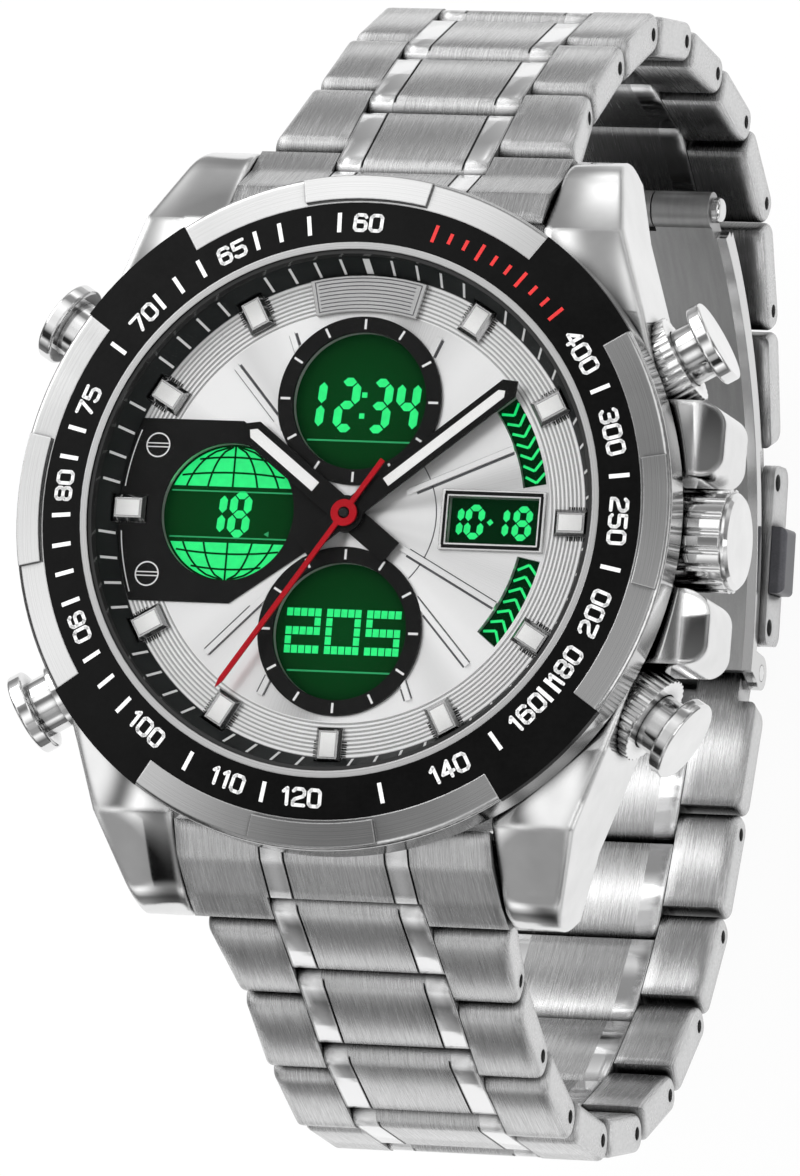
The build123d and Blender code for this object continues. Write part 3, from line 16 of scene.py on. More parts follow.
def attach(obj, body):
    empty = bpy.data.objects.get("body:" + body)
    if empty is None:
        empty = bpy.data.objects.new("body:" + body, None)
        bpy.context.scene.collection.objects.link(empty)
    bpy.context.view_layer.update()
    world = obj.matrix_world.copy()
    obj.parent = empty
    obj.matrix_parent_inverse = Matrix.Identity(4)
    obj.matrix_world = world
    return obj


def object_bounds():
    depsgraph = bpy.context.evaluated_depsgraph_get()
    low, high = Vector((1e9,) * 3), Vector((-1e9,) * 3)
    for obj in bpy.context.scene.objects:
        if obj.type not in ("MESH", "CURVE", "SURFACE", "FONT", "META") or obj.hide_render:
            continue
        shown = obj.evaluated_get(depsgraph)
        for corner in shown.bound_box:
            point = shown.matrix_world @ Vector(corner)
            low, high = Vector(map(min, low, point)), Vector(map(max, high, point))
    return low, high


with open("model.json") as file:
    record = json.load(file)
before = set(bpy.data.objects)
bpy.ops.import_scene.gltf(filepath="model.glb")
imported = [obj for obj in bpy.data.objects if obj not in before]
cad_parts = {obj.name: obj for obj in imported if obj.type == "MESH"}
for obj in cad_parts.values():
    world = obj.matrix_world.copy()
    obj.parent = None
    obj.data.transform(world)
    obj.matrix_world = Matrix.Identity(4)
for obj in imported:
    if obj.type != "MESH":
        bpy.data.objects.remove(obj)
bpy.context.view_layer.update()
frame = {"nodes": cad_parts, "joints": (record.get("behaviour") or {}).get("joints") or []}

MM = 0.001
nodes = frame["nodes"]

# %% [markdown]
# The camera comes first, because every later choice is judged through it.
# It looks steeply down on the dial, from the 3 o'clock side and a little from 6 o'clock,
# through a long lens, so that the round bezel hardly changes with distance.
# Its roll turns 12 o'clock to the upper right.

# %% Camera
YAW, PITCH, ROLL = radians(18.17), radians(8.86), radians(-5.0)
DISTANCE, SIDE_SHIFT, UP_SHIFT = 894.7, 3.30, -4.91
AIM_HEIGHT = 37.23
FOCAL_LENGTH, SENSOR_WIDTH, FAR_CLIP = 391.2, 36, 10

view = Vector((sin(YAW) * cos(PITCH), -sin(PITCH), cos(YAW) * cos(PITCH)))
level = Vector((cos(YAW), 0, -sin(YAW)))
rise = view.cross(level)
right = cos(ROLL) * level - sin(ROLL) * rise
up = sin(ROLL) * level + cos(ROLL) * rise
stand = view * DISTANCE + right * SIDE_SHIFT + up * UP_SHIFT + Vector((0, 0, AIM_HEIGHT))

lens = bpy.data.cameras.new("camera")
lens.lens, lens.sensor_width, lens.clip_end = FOCAL_LENGTH, SENSOR_WIDTH, FAR_CLIP
camera = bpy.data.objects.new("camera", lens)
bpy.context.scene.collection.objects.link(camera)
turned = Matrix((right, up, view)).transposed().to_4x4()
camera.matrix_world = Matrix.Translation(stand * MM) @ turned
bpy.context.scene.camera = camera
print("camera stands at", [round(c) for c in stand], "mm")

# %% [markdown]
# Finishes are node trees. Writing their sums as plain expressions keeps them readable,
# so a small class wraps a socket and overloads the operators. Each operator asks the
# bench, the second class, for a Math node.

# %% A socket that can be used in sums
class Wire:
    """A node's output that can be used in a sum."""

    def __init__(self, bench, socket):
        self.bench, self.socket = bench, socket

    def __add__(self, other): return self.bench.math("ADD", self, other)
    def __radd__(self, other): return self.bench.math("ADD", other, self)
    def __sub__(self, other): return self.bench.math("SUBTRACT", self, other)
    def __rsub__(self, other): return self.bench.math("SUBTRACT", other, self)
    def __mul__(self, other): return self.bench.math("MULTIPLY", self, other)
    def __rmul__(self, other): return self.bench.math("MULTIPLY", other, self)
    def __truediv__(self, other): return self.bench.math("DIVIDE", self, other)
    def __gt__(self, other): return self.bench.math("GREATER_THAN", self, other)
    def __lt__(self, other): return self.bench.math("LESS_THAN", self, other)
    def __abs__(self): return self.bench.math("ABSOLUTE", self)


# %% [markdown]
# The bench holds the tree of a material, or of the world. One method adds any node by
# its type, its settings and what its sockets get. The others are short names for the
# nodes that this watch needs again and again: a place in millimetres, noise, a ramp, a
# bump, and shade painted into seams.

# %% The bench on which finishes are made
# the colour of the shade painted into seams
SEAM_SHADE_GREY = 0.03


def grey(level, tint=0.0):
    return (level, level, level + tint, 1)


class Bench:
    """A material or world under work, with a method for every node in its tree."""

    def __init__(self, owner):
        self.owner = owner
        owner.use_nodes = True
        self.tree = owner.node_tree
        self.shader = self.tree.nodes.get("Principled BSDF")
        self.output = next(n for n in self.tree.nodes if n.type.startswith("OUTPUT"))

    def feed(self, socket, value):
        if isinstance(value, Wire):
            self.tree.links.new(value.socket, socket)
        else:
            socket.default_value = value

    def node(self, kind, settings=None, sockets=None, out=0):
        made = self.tree.nodes.new(kind)
        for key, value in (settings or {}).items():
            if key != "stops":
                setattr(made, key, value)
                continue
            elements = made.color_ramp.elements
            while len(elements) < len(value):
                elements.new(0.5)
            for element, (where, tone) in zip(elements, value):
                element.position = where
                element.color = (*tone, 1) if isinstance(tone, tuple) else grey(tone)
        for key, value in (sockets or {}).items():
            self.feed(made.inputs[key], value)
        return Wire(self, made.outputs[out])

    def set(self, **values):
        """Sets sockets of the Principled shader."""
        for key, value in values.items():
            self.feed(self.shader.inputs[key.replace("_", " ")], value)

    def show(self, surface):
        self.feed(self.output.inputs[0], surface)

    def math(self, operation, a, b=0.0):
        return self.node("ShaderNodeMath", {"operation": operation}, {0: a, 1: b})

    def reach(self, x, y):
        return self.math("SQRT", x * x + y * y)

    def place(self, stretch=(1, 1, 1)):
        """The surface point in millimetres, stretched along each axis."""
        here = self.node("ShaderNodeTexCoord", out="Object")
        return self.node("ShaderNodeVectorMath", {"operation": "MULTIPLY"},
                         {0: here, 1: tuple(s / MM for s in stretch)})

    def parts(self, vector):
        split = self.node("ShaderNodeSeparateXYZ", None, {0: vector}).socket.node
        return [Wire(self, part) for part in split.outputs]

    def noise(self, stretch, detail=2.0, rough=0.5):
        """Noise over the surface, finer along an axis that is stretched more."""
        return self.node("ShaderNodeTexNoise", None,
                         {"Vector": self.place(stretch), "Scale": 1.0,
                          "Detail": detail, "Roughness": rough})

    def streaks(self, along, detail, rough=0.5):
        """Noise that follows one number, such as an angle or a radius."""
        return self.node("ShaderNodeTexNoise", {"noise_dimensions": "1D"},
                         {"W": along, "Scale": 1.0, "Detail": detail, "Roughness": rough})

    def ramp(self, value, *stops):
        return self.node("ShaderNodeValToRGB", {"stops": stops}, {0: value})

    def mix(self, factor, a, b):
        return self.node("ShaderNodeMix", {"data_type": "RGBA"}, {0: factor, 6: a, 7: b}, out=2)

    def blend(self, factor, first, second):
        """A mix of two shaders."""
        return self.node("ShaderNodeMixShader", None, {0: factor, 1: first, 2: second})

    def paint_seam_shade(self, steel, reach_mm, shut, free):
        """Steel with shade painted into its colour where other surfaces stand close."""
        open_air = self.node("ShaderNodeAmbientOcclusion", {"samples": 6},
                             {"Distance": reach_mm * MM}, out="AO")
        return self.mix(self.ramp(open_air, (shut, 0.0), (free, 1.0)), grey(SEAM_SHADE_GREY), steel)

    def bump(self, height, strength, depth_mm, edge_mm=0.0, over=None):
        """A bump over rounded edges, or over another bump."""
        sockets = {"Height": height, "Strength": strength, "Distance": depth_mm * MM}
        if edge_mm:
            over = self.node("ShaderNodeBevel", {"samples": 4}, {0: edge_mm * MM})
        if over:
            sockets["Normal"] = over
        return self.node("ShaderNodeBump", None, sockets)


def new_finish(name):
    return Bench(bpy.data.materials.new(name))


# %% [markdown]
# Brushed steel is the bracelet's main finish: fine scratches run along the band, so the
# pattern changes fast across the wrist (X) and slowly along it. Two narrow lines beside
# the centre of each link are polished like a mirror, which a mask on X picks out.
# An occlusion node paints shade into the steel's colour where it lies deep between links.
# Each link has its own copy of the finish, because its faces are a little crowned along
# its length: the crown is a bump measured from the link's own pins, which the joints give.

# %% Brushed steel with polished lines
SIDE_FACE = 0.8                            # a normal this far along X is on a link's side
LINE_FROM, LINE_TO = 3.9, 5.5              # the polished lines, from the middle outwards
CENTRE_EDGE = 5.6                          # half the width of a centre piece
OUTER_MIDDLE, CENTRE_MIDDLE = 5.75, 2.7    # from a link's first pin to the crowns' tops
CROWN_DEPTH = 0.034


def brushed_steel(name, base=0.60, rough=0.26, pins=None):
    b = new_finish(name)
    x, y, z = b.parts(b.place())
    grain = b.noise((16, 0.35, 0.35), 4.0, 0.65)
    fine = b.noise((42, 1.1, 1.1))
    cloud = b.noise((0.25, 0.25, 0.25))
    side_grain = b.noise((1, 5, 5), 3.0, 0.6)
    side = abs(b.parts(b.node("ShaderNodeNewGeometry", out="Normal"))[0]) > SIDE_FACE
    streak = grain * 0.65 + fine * 0.35
    streak = streak * (1 - side) + (0.5 + (side_grain - 0.5) * 0.3) * side
    polished = (abs(x) > LINE_FROM) * (abs(x) < LINE_TO) * (1 - side)
    tone = b.ramp(streak, (0.3, base * 0.62), (0.7, grey(base * 1.32, 0.004)[:3]))
    steel = b.mix(polished, tone, grey(0.86, 0.004))
    skin = b.bump(streak * (1 - polished * 0.95), 0.45, 0.012, 1.2)
    if pins:
        near, far = pins
        run = (far - near).normalized()
        along = (y - near.x) * run.x + (z - near.y) * run.y
        away = along - OUTER_MIDDLE + (OUTER_MIDDLE - CENTRE_MIDDLE) * (abs(x) < CENTRE_EDGE)
        skin = b.bump(away * away * (side - 1), 1.0, CROWN_DEPTH, over=skin)
    brushed_gloss = (rough + (streak - 0.5) * 0.16 + (cloud - 0.5) * 0.12) * (1 - polished)
    polished_gloss = polished * (0.07 + (cloud - 0.5) * 0.05)
    # painted shade in the seams between links, from the occlusion node
    b.set(Base_Color=b.paint_seam_shade(steel, 1.4, 0.45, 0.9), Metallic=1.0,
          Roughness=brushed_gloss + polished_gloss, Normal=skin)
    return b.owner


# %% [markdown]
# The hinge joints say where each link's two pins are at rest. On the 12 o'clock side the
# first pin is the lug's, which mirrors the lug pin at 6 o'clock.

# %% One brushed finish for each link
pin_at = {j["name"]: Vector(j["pos_m"][1:]) / MM for j in frame["joints"] if j["type"] == "hinge"}
lug_pin = pin_at["bracelet_6_1"]
rows = {"6": [pin_at["bracelet_6_%d" % k] for k in range(1, 11)] + [pin_at["clasp_end"]],
        "12": ([Vector((-lug_pin.x, lug_pin.y))]
               + [pin_at["bracelet_12_%d" % k] for k in range(1, 10)])}
steel_links = {}
for row, pins in rows.items():
    for k, pair in enumerate(zip(pins, pins[1:]), 1):
        link = "link_%s_%d" % (row, k)
        steel_links[link] = brushed_steel("brushed_link_steel_%s_%d" % (row, k), pins=pair)
steel_end = brushed_steel("brushed_end_steel")
steel_cover = brushed_steel("brushed_cover_steel", base=0.56, rough=0.29)
print("brushed finishes made for", len(steel_links), "links, the end links and the cover")

# %% [markdown]
# The case, lugs, crown and pushers are polished. A perfect mirror looks computer made,
# so a faint haze and hairline scratches vary the gloss, and the Bevel node rounds the
# edges just enough to catch the light. A polishing wheel also leaves the broad faces of
# the case a little domed, which long shallow waves in the bump stand for.

# %% Polished steel
def polished_steel(name, edge, base=0.74, rough=0.07, dome=0.0):
    b = new_finish(name)
    haze = b.noise((0.35, 0.35, 0.35), 3.0)
    hairs = b.noise((0.9, 9.0, 2.0), 4.0, 0.7)
    steel = b.ramp(haze, (0.3, base * 0.95), (0.7, base * 1.04))
    skin = b.bump(hairs, 0.05, 0.004, edge)
    if dome:
        x, y, _ = b.parts(b.place())
        waves = b.math("SINE", y * 0.42 + 1.2) + b.math("SINE", x * 0.55 + 0.6)
        skin = b.bump(waves, 1.0, dome, over=skin)
    # painted shade where other surfaces stand close
    b.set(Base_Color=b.paint_seam_shade(steel, 1.2, 0.35, 0.8), Metallic=1.0,
          Roughness=rough + (haze - 0.5) * 0.07 + (hairs - 0.5) * 0.05, Normal=skin)
    return b.owner


polish = polished_steel("polished_case_steel", edge=0.6, dome=0.42)
crown_polish = polished_steel("polished_crown_steel", edge=0.12, base=0.78, rough=0.06)
pin_polish = polished_steel("polished_pin_steel", edge=0.05, rough=0.14)
marker_polish = polished_steel("polished_marker_steel", edge=0.08, base=0.50, rough=0.10)
print("polished finishes made")

# %% [markdown]
# The clasp's blades are dull: blasting leaves a fine sandy grain, and rolling leaves long
# faint lines under it. The inner blade's edges are polished bright again, which a mask on
# X picks out. The other blade has no bright edge, so its mask starts beyond the piece.

# %% Blasted steel
def blasted_steel(name, bright_edge=99.0):
    base, rough = 0.36, 0.36
    b = new_finish(name)
    sand = b.noise((14, 14, 14), 3.0, 0.6)
    drawn = b.noise((3.0, 0.3, 0.3), 3.0)
    rim = abs(b.parts(b.place())[0]) > bright_edge
    tone = b.ramp(sand * 0.5 + drawn * 0.5, (0.3, base * 0.85), (0.7, base * 1.12))
    dull_gloss = (rough + (sand - 0.5) * 0.12 + (drawn - 0.5) * 0.08) * (1 - rim)
    b.set(Base_Color=b.mix(rim, tone, grey(0.62)), Metallic=1.0,
          Roughness=dull_gloss + rim * 0.12, Normal=b.bump(sand * (1 - rim), 0.4, 0.01, 0.1))
    return b.owner


blasted = blasted_steel("blasted_blade_steel", bright_edge=9.15)
blasted_plain = blasted_steel("blasted_plain_steel")
print("blasted finishes made")

# %% [markdown]
# A lathe leaves fine rings round the case axis, on the bezel ring and on the case back.
# Noise on the distance from the axis draws them, and a soft haze breaks the gloss.

# %% Turned steel
def turned_steel(name, base, rough):
    b = new_finish(name)
    x, y, _ = b.parts(b.place())
    rings = b.streaks(b.reach(x, y) * 14, 3.0)
    haze = b.noise((0.3, 0.3, 0.3))
    steel = b.ramp(rings, (0.3, base * 0.93), (0.7, base * 1.05))
    # painted shade where other surfaces stand close, as at the edges of the bezel's pads
    b.set(Base_Color=b.paint_seam_shade(steel, 0.9, 0.4, 0.85), Metallic=1.0,
          Roughness=rough + (rings - 0.5) * 0.08 + (haze - 0.5) * 0.08,
          Normal=b.bump(rings, 0.12, 0.004, 0.12))
    return b.owner


bezel_steel = turned_steel("turned_bezel_steel", base=0.56, rough=0.13)
back_steel = turned_steel("turned_back_steel", base=0.58, rough=0.24)
print("turned finishes made")

# %% [markdown]
# The dial's middle is silver with a sunburst: brushed lines run out from the centre. The
# fans of light that such a dial shows are painted into the colour as painted sheen, a
# noise on the angle round the centre. Near the edge the cut rings take over, with
# painted shade in each ring's groove, and the ribs keep their own edges.

# %% Silver dial
RINGS_FROM, FIRST_RING, RING_PITCH = 14.6, 14.75, 0.3


def silver_dial():
    b = new_finish("silver_dial")
    x, y, _ = b.parts(b.place())
    angle, radius = b.math("ARCTAN2", y, x), b.reach(x, y)
    rays = b.streaks(angle * 220, 3.0, 0.6)
    painted_sheen_fans = b.streaks(angle * 1.9 + 3.0, 1.0)
    # painted shade: the colour is darker in the groove of each cut ring
    rings = b.math("COSINE", (radius - FIRST_RING) * (2 * pi / RING_PITCH))
    outer = radius > RINGS_FROM
    # the brushed lines' tone, plus painted sheen in fans of light
    rays_and_painted_sheen = (rays - 0.5) * 0.28 + (painted_sheen_fans - 0.5) * 1.6 * (1 - outer)
    b.set(Base_Color=b.ramp(0.60 + rays_and_painted_sheen - rings * 0.42 * outer,
                            (0.1, 0.33), (0.5, 0.80), (0.8, 0.96)),
          Metallic=0.7, Roughness=0.32 + (rays - 0.5) * 0.14,
          Normal=b.bump(rays * (1 - outer), 0.12, 0.01, 0.05))
    return b.owner


dial_silver = silver_dial()
print("dial finish made")

# %% [markdown]
# Paint, lacquer, rubber and the plain pieces inside share one recipe: small changes of
# tone and a slightly uneven skin. The blacks have hardly any sheen of their own, because
# on the real watch they stay black right beside bright steel.

# %% Paint, lacquer and moulded pieces
def inked(name, colour, rough, grain, spread, depth, metallic=0.0, sheen=0.5):
    b = new_finish(name)
    skin = b.noise((grain, grain, grain), 3.0, 0.6)
    cloud = b.noise((0.4, 0.4, 0.4))
    dark = tuple(c * (1 - spread) for c in colour)
    pale = tuple(min(1.0, c * (1 + spread)) for c in colour)
    b.set(Base_Color=b.ramp(skin * 0.5 + cloud * 0.5, (0.3, dark), (0.7, pale)),
          Metallic=metallic, Roughness=rough + (skin - 0.5) * 0.12 + (cloud - 0.5) * 0.08,
          Specular_IOR_Level=sheen, Normal=b.bump(skin, 0.2, depth, 0.05))
    return b.owner


insert_black = inked("black_lacquer", (0.004, 0.004, 0.004), 0.2, 3.0, 0.3, 0.004, sheen=0.07)
track_black = inked("track_black", (0.017, 0.019, 0.019), 0.45, 7.0, 0.3, 0.004, sheen=0.1)
ring_black = inked("ring_black", (0.008, 0.008, 0.008), 0.4, 9.0, 0.35, 0.01, sheen=0.1)
rubber_black = inked("seal_rubber", (0.02, 0.02, 0.02), 0.7, 8.0, 0.25, 0.01)
print_white = inked("white_print", (0.90, 0.90, 0.90), 0.5, 10.0, 0.05, 0.002)
print_red = inked("red_print", (0.70, 0.014, 0.014), 0.45, 10.0, 0.1, 0.002)
white_lume = inked("white_inlay", (0.94, 0.94, 0.93), 0.55, 6.0, 0.05, 0.004)
hand_black = inked("hand_black", (0.006, 0.006, 0.006), 0.35, 9.0, 0.3, 0.003, sheen=0.1)
hand_red = inked("hand_red", (0.46, 0.006, 0.014), 0.4, 8.0, 0.12, 0.003, sheen=0.1)
button_dark = inked("dark_button_steel", (0.10, 0.10, 0.11), 0.38, 7.0, 0.25, 0.008, 0.8)
board_green = inked("board_green", (0.02, 0.10, 0.05), 0.5, 5.0, 0.3, 0.01)
holder_grey = inked("holder_resin", (0.45, 0.45, 0.43), 0.55, 5.0, 0.12, 0.01)
coil_copper = inked("coil_copper", (0.50, 0.20, 0.09), 0.35, 12.0, 0.3, 0.02, 0.9)
plate_brass = inked("plate_brass", (0.55, 0.42, 0.20), 0.32, 6.0, 0.15, 0.008, 0.95)
# dark grey for lines of painted shade: in grooves, beside the ribs and at the turned circle
painted_groove_shade = inked("painted_groove_shade", (0.13, 0.13, 0.14), 0.4, 9.0, 0.2, 0.003, 0.5)
print("paints and moulded finishes made")

# %% [markdown]
# The displays glow. Lit segments are an even bright green. The panel behind them is a
# deep green with painted shade towards the edge of each round window, so its colour
# follows the distance to the nearest window's centre.

# %% Green of the displays
SUBDIAL_Y, GLOBE_X = 8.2, -9.05
WINDOW_REACH = 5.2


def lit(name, colour, strength):
    b = new_finish(name)
    cloud = b.noise((1.5, 1.5, 1.5))
    tone = b.ramp(cloud, (0.3, tuple(c * 0.86 for c in colour)), (0.7, colour))
    b.set(Base_Color=tone, Emission_Color=tone, Emission_Strength=strength,
          Roughness=0.5 + (cloud - 0.5) * 0.1)
    return b.owner


def display_glow():
    b = new_finish("display_green")
    x, y, _ = b.parts(b.place())
    nearest = b.math("MINIMUM", b.reach(x, abs(y) - SUBDIAL_Y), b.reach(x - GLOBE_X, y))
    grain = b.noise((5, 5, 5))
    # painted shade: the green darkens towards each window's edge
    tone = b.ramp(nearest / WINDOW_REACH + (grain - 0.5) * 0.05, (0.0, (0.001, 0.038, 0.007)),
                  (0.8, (0.001, 0.028, 0.005)), (1.0, (0.0, 0.014, 0.003)))
    b.set(Base_Color=tone, Emission_Color=tone, Emission_Strength=0.5,
          Specular_IOR_Level=0.02, Roughness=0.3 + (grain - 0.5) * 0.08)
    return b.owner


bright_green = lit("lit_segment_green", (0.0, 0.56, 0.13), 0.85)
mid_green = lit("lit_line_green", (0.0, 0.24, 0.07), 0.7)
panel_green = display_glow()
print("greens made")

# %% [markdown]
# The crystal is thin and flat. A full glass shader would shut the lamps out of the dial,
# so the crystal lets straight light through and adds a reflection that grows at grazing
# angles, with a faint smear to keep it from looking absent.

# %% Crystal
def clear_crystal():
    b = new_finish("clear_crystal")
    smear = b.noise((0.5, 0.5, 0.5), 3.0)
    b.set(Base_Color=grey(0.03), Roughness=0.03 + smear * 0.04, IOR=1.5)
    clear = b.node("ShaderNodeBsdfTransparent")
    grazing = b.node("ShaderNodeFresnel", None, {"IOR": 1.38})
    b.show(b.blend(grazing * 0.5, clear, Wire(b, b.shader.outputs[0])))
    return b.owner


crystal_clear = clear_crystal()
print("crystal finish made")

# %% [markdown]
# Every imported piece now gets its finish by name. The mid case and the lugs are polished,
# the end links are brushed like the band, and the pieces inside keep finishes of their
# own, because the poses and other views can show them.

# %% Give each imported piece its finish
def paint(names, material):
    for name in names.split():
        slots = nodes[name].data.materials
        slots.clear()
        slots.append(material)


for name, material in steel_links.items():
    paint(name, material)
paint("end_link_12 end_link_6", steel_end)
paint("clasp_cover", steel_cover)
paint("inner_blade", blasted)
paint("middle_blade", blasted_plain)
paint("mid_case crown_tube winding_stem", polish)
paint("crown pusher_2 pusher_4 pusher_8 pusher_10 pusher_collars date_frame", crown_polish)
paint("blade_pins cover_pins case_back_screws", pin_polish)
paint("hour_markers", marker_polish)
paint("bezel_ring", bezel_steel)
paint("case_back battery", back_steel)
paint("bezel_insert", insert_black)
paint("minute_track_ring", track_black)
paint("subdial_rings side_plate", ring_black)
paint("crystal_gasket case_back_seal crown_seal", rubber_black)
paint("dial", dial_silver)
paint("display_panel", panel_green)
paint("clasp_button_right clasp_button_left", button_dark)
paint("circuit_board", board_green)
paint("movement_holder", holder_grey)
paint("stepper_coil", coil_copper)
paint("movement_plate", plate_brass)
paint("crystal", crystal_clear)
paint("hour_hand minute_hand", hand_black)
paint("second_hand", hand_red)
print("finishes given to", len(nodes), "pieces")

# %% [markdown]
# Added pieces are thin: print, inlays and lit segments lie on the surface that carries
# them. They are all made the same way. A bmesh starts from a shape that Blender makes,
# is turned to its place on the dial, and becomes an object that rides on its body.

# %% Places, bars and plates
def spot(x, y, z=0.0):
    """A place at x, y, z in mm."""
    return Matrix.Translation(Vector((x, y, z)) * MM)


def clock(angle, reach, height, tilt=0.0):
    """Stands on the dial at a clock angle and reach in mm: local Y points outwards."""
    a = radians(angle)
    return (spot(reach * sin(a), reach * cos(a), height)
            @ Matrix.Rotation(-a, 4, "Z") @ Matrix.Rotation(-tilt, 4, "X"))


def slab(bm, place, width, length, thick, base=0.0):
    """A flat bar, centred in its place, standing from base upwards, in mm."""
    size = Matrix.Diagonal((width * MM, length * MM, thick * MM, 1))
    bmesh.ops.create_cube(bm, size=1, matrix=place @ spot(0, 0, base + thick / 2) @ size)


def slab_between(bm, place, start, end, width, thick, base=0.0, spare=0.0):
    """A flat bar from one point of a place to another, in mm, longer by spare."""
    (x0, y0), (x1, y1) = start, end
    turn = Matrix.Rotation(atan2(y1 - y0, x1 - x0), 4, "Z")
    slab(bm, place @ spot((x0 + x1) / 2, (y0 + y1) / 2) @ turn,
         hypot(x1 - x0, y1 - y0) + spare, width, thick, base)


def thicken(bm, faces, way):
    """Makes a plate of flat faces, as thick as way is long."""
    grown = bmesh.ops.extrude_face_region(bm, geom=faces)["geom"]
    risen = [v for v in grown if isinstance(v, bmesh.types.BMVert)]
    bmesh.ops.translate(bm, vec=way, verts=risen)


def prism(bm, place, outline, thick):
    """A flat plate with the given outline in mm, extruded upwards."""
    corners = [bm.verts.new(place @ Vector((x * MM, y * MM, 0))) for x, y in outline]
    thicken(bm, [bm.faces.new(corners)], place.to_3x3() @ Vector((0, 0, thick * MM)))
    bmesh.ops.recalc_face_normals(bm, faces=bm.faces[:])


# %% [markdown]
# A finished bmesh is only a shape.

# %% From a shape to a piece of the watch
def built(bm, name, material):
    """The object that a finished bmesh becomes."""
    mesh = bpy.data.meshes.new(name)
    bm.to_mesh(mesh)
    bm.free()
    mesh.materials.append(material)
    made = bpy.data.objects.new(name, mesh)
    bpy.context.scene.collection.objects.link(made)
    print(name, "has", len(mesh.polygons), "faces")
    return made


def piece(bm, name, material, body):
    made = built(bm, name, material)
    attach(made, body)


# %% [markdown]
# The numbers are plain squarish digits. Each is a few lines on a field one wide and 1.4
# high, and a line is a flat bar for each run, with a round end at every point.

# %% Digits drawn as lines
PRINT_THICK, PRINT_BASE = 0.03, 0.005
DIGIT_HEIGHT, DIGIT_GAP, THIN_DIGIT = 1.4, 0.42, 0.6
STROKES = {
    "0": [[(0.2, 0), (0.8, 0), (1, 0.2), (1, 1.2), (0.8, 1.4), (0.2, 1.4), (0, 1.2), (0, 0.2),
           (0.2, 0)]],
    "1": [[(0.12, 1.12), (0.45, 1.4), (0.45, 0)]],
    "2": [[(0, 1.2), (0.2, 1.4), (0.8, 1.4), (1, 1.2), (1, 0.92), (0.85, 0.76), (0.15, 0.5),
           (0, 0.3), (0, 0), (1, 0)]],
    "3": [[(0, 1.2), (0.2, 1.4), (0.8, 1.4), (1, 1.2), (1, 0.9), (0.8, 0.73), (0.35, 0.73)],
          [(0.8, 0.73), (1, 0.55), (1, 0.2), (0.8, 0), (0.2, 0), (0, 0.2)]],
    "4": [[(0.75, 0), (0.75, 1.4), (0, 0.42), (1.05, 0.42)]],
    "5": [[(1, 1.4), (0, 1.4), (0, 0.8), (0.8, 0.8), (1, 0.6), (1, 0.2), (0.8, 0), (0.2, 0),
           (0, 0.15)]],
    "6": [[(0.95, 1.22), (0.8, 1.4), (0.2, 1.4), (0, 1.2), (0, 0.2), (0.2, 0), (0.8, 0),
           (1, 0.2), (1, 0.6), (0.8, 0.8), (0, 0.8)]],
    "7": [[(0, 1.4), (1, 1.4), (0.4, 0)]],
    "8": [[(0.2, 0.73), (0, 0.9), (0, 1.2), (0.2, 1.4), (0.8, 1.4), (1, 1.2), (1, 0.9),
           (0.8, 0.73), (0.2, 0.73), (0, 0.55), (0, 0.2), (0.2, 0), (0.8, 0), (1, 0.2),
           (1, 0.55), (0.8, 0.73)]],
    "9": [[(0.05, 0.18), (0.2, 0), (0.8, 0), (1, 0.2), (1, 1.2), (0.8, 1.4), (0.2, 1.4),
           (0, 1.2), (0, 0.8), (0.2, 0.6), (1, 0.6)]]}


def strip_line(bm, place, points, width):
    for start, end in zip(points, points[1:]):
        slab_between(bm, place, start, end, width, PRINT_THICK, PRINT_BASE)
    for x, y in points:
        bmesh.ops.create_cone(bm, cap_ends=True, segments=10, radius1=width / 2 * MM,
                              radius2=width / 2 * MM, depth=PRINT_THICK * MM,
                              matrix=place @ spot(x, y, PRINT_BASE + PRINT_THICK / 2))


def drawn_number(bm, text, place, size, stroke):
    """A number in plain squarish digits, centred in its place."""
    widths = [THIN_DIGIT if digit == "1" else 1.0 for digit in text]
    x = -(sum(widths) + DIGIT_GAP * (len(text) - 1)) / 2
    for digit, width in zip(text, widths):
        for line in STROKES[digit]:
            points = [((x + u) * size, (v - DIGIT_HEIGHT / 2) * size) for u, v in line]
            strip_line(bm, place, points, stroke)
        x += width + DIGIT_GAP


print("digits drawn:", " ".join(STROKES))

# %% [markdown]
# The black insert carries a speed scale. Its numbers stand beside white ticks, and each
# angle was read off the photograph. In the upper half the digits' tops point outwards,
# in the lower half inwards, so that all can be read. They lie on the insert's slope.

# %% Numbers and ticks of the bezel
BEZEL_EDGE, BEZEL_RISE, BEZEL_RADIUS, LIP_RADIUS = 40.0, 0.75, 24.0, 19.0
SLOPE = atan2(BEZEL_RISE, BEZEL_RADIUS - LIP_RADIUS)
NUMBER_REACH, NUMBER_SIZE, NUMBER_STROKE = 20.4, 0.81, 0.25
TICK_REACH = 20.45
LOWER_HALF = (100, 260)


def on_bezel(angle, reach, lift=0.0):
    """A place on the insert's slope."""
    height = BEZEL_EDGE + BEZEL_RISE * (BEZEL_RADIUS - reach) / (BEZEL_RADIUS - LIP_RADIUS)
    return clock(angle, reach, height + lift, SLOPE)


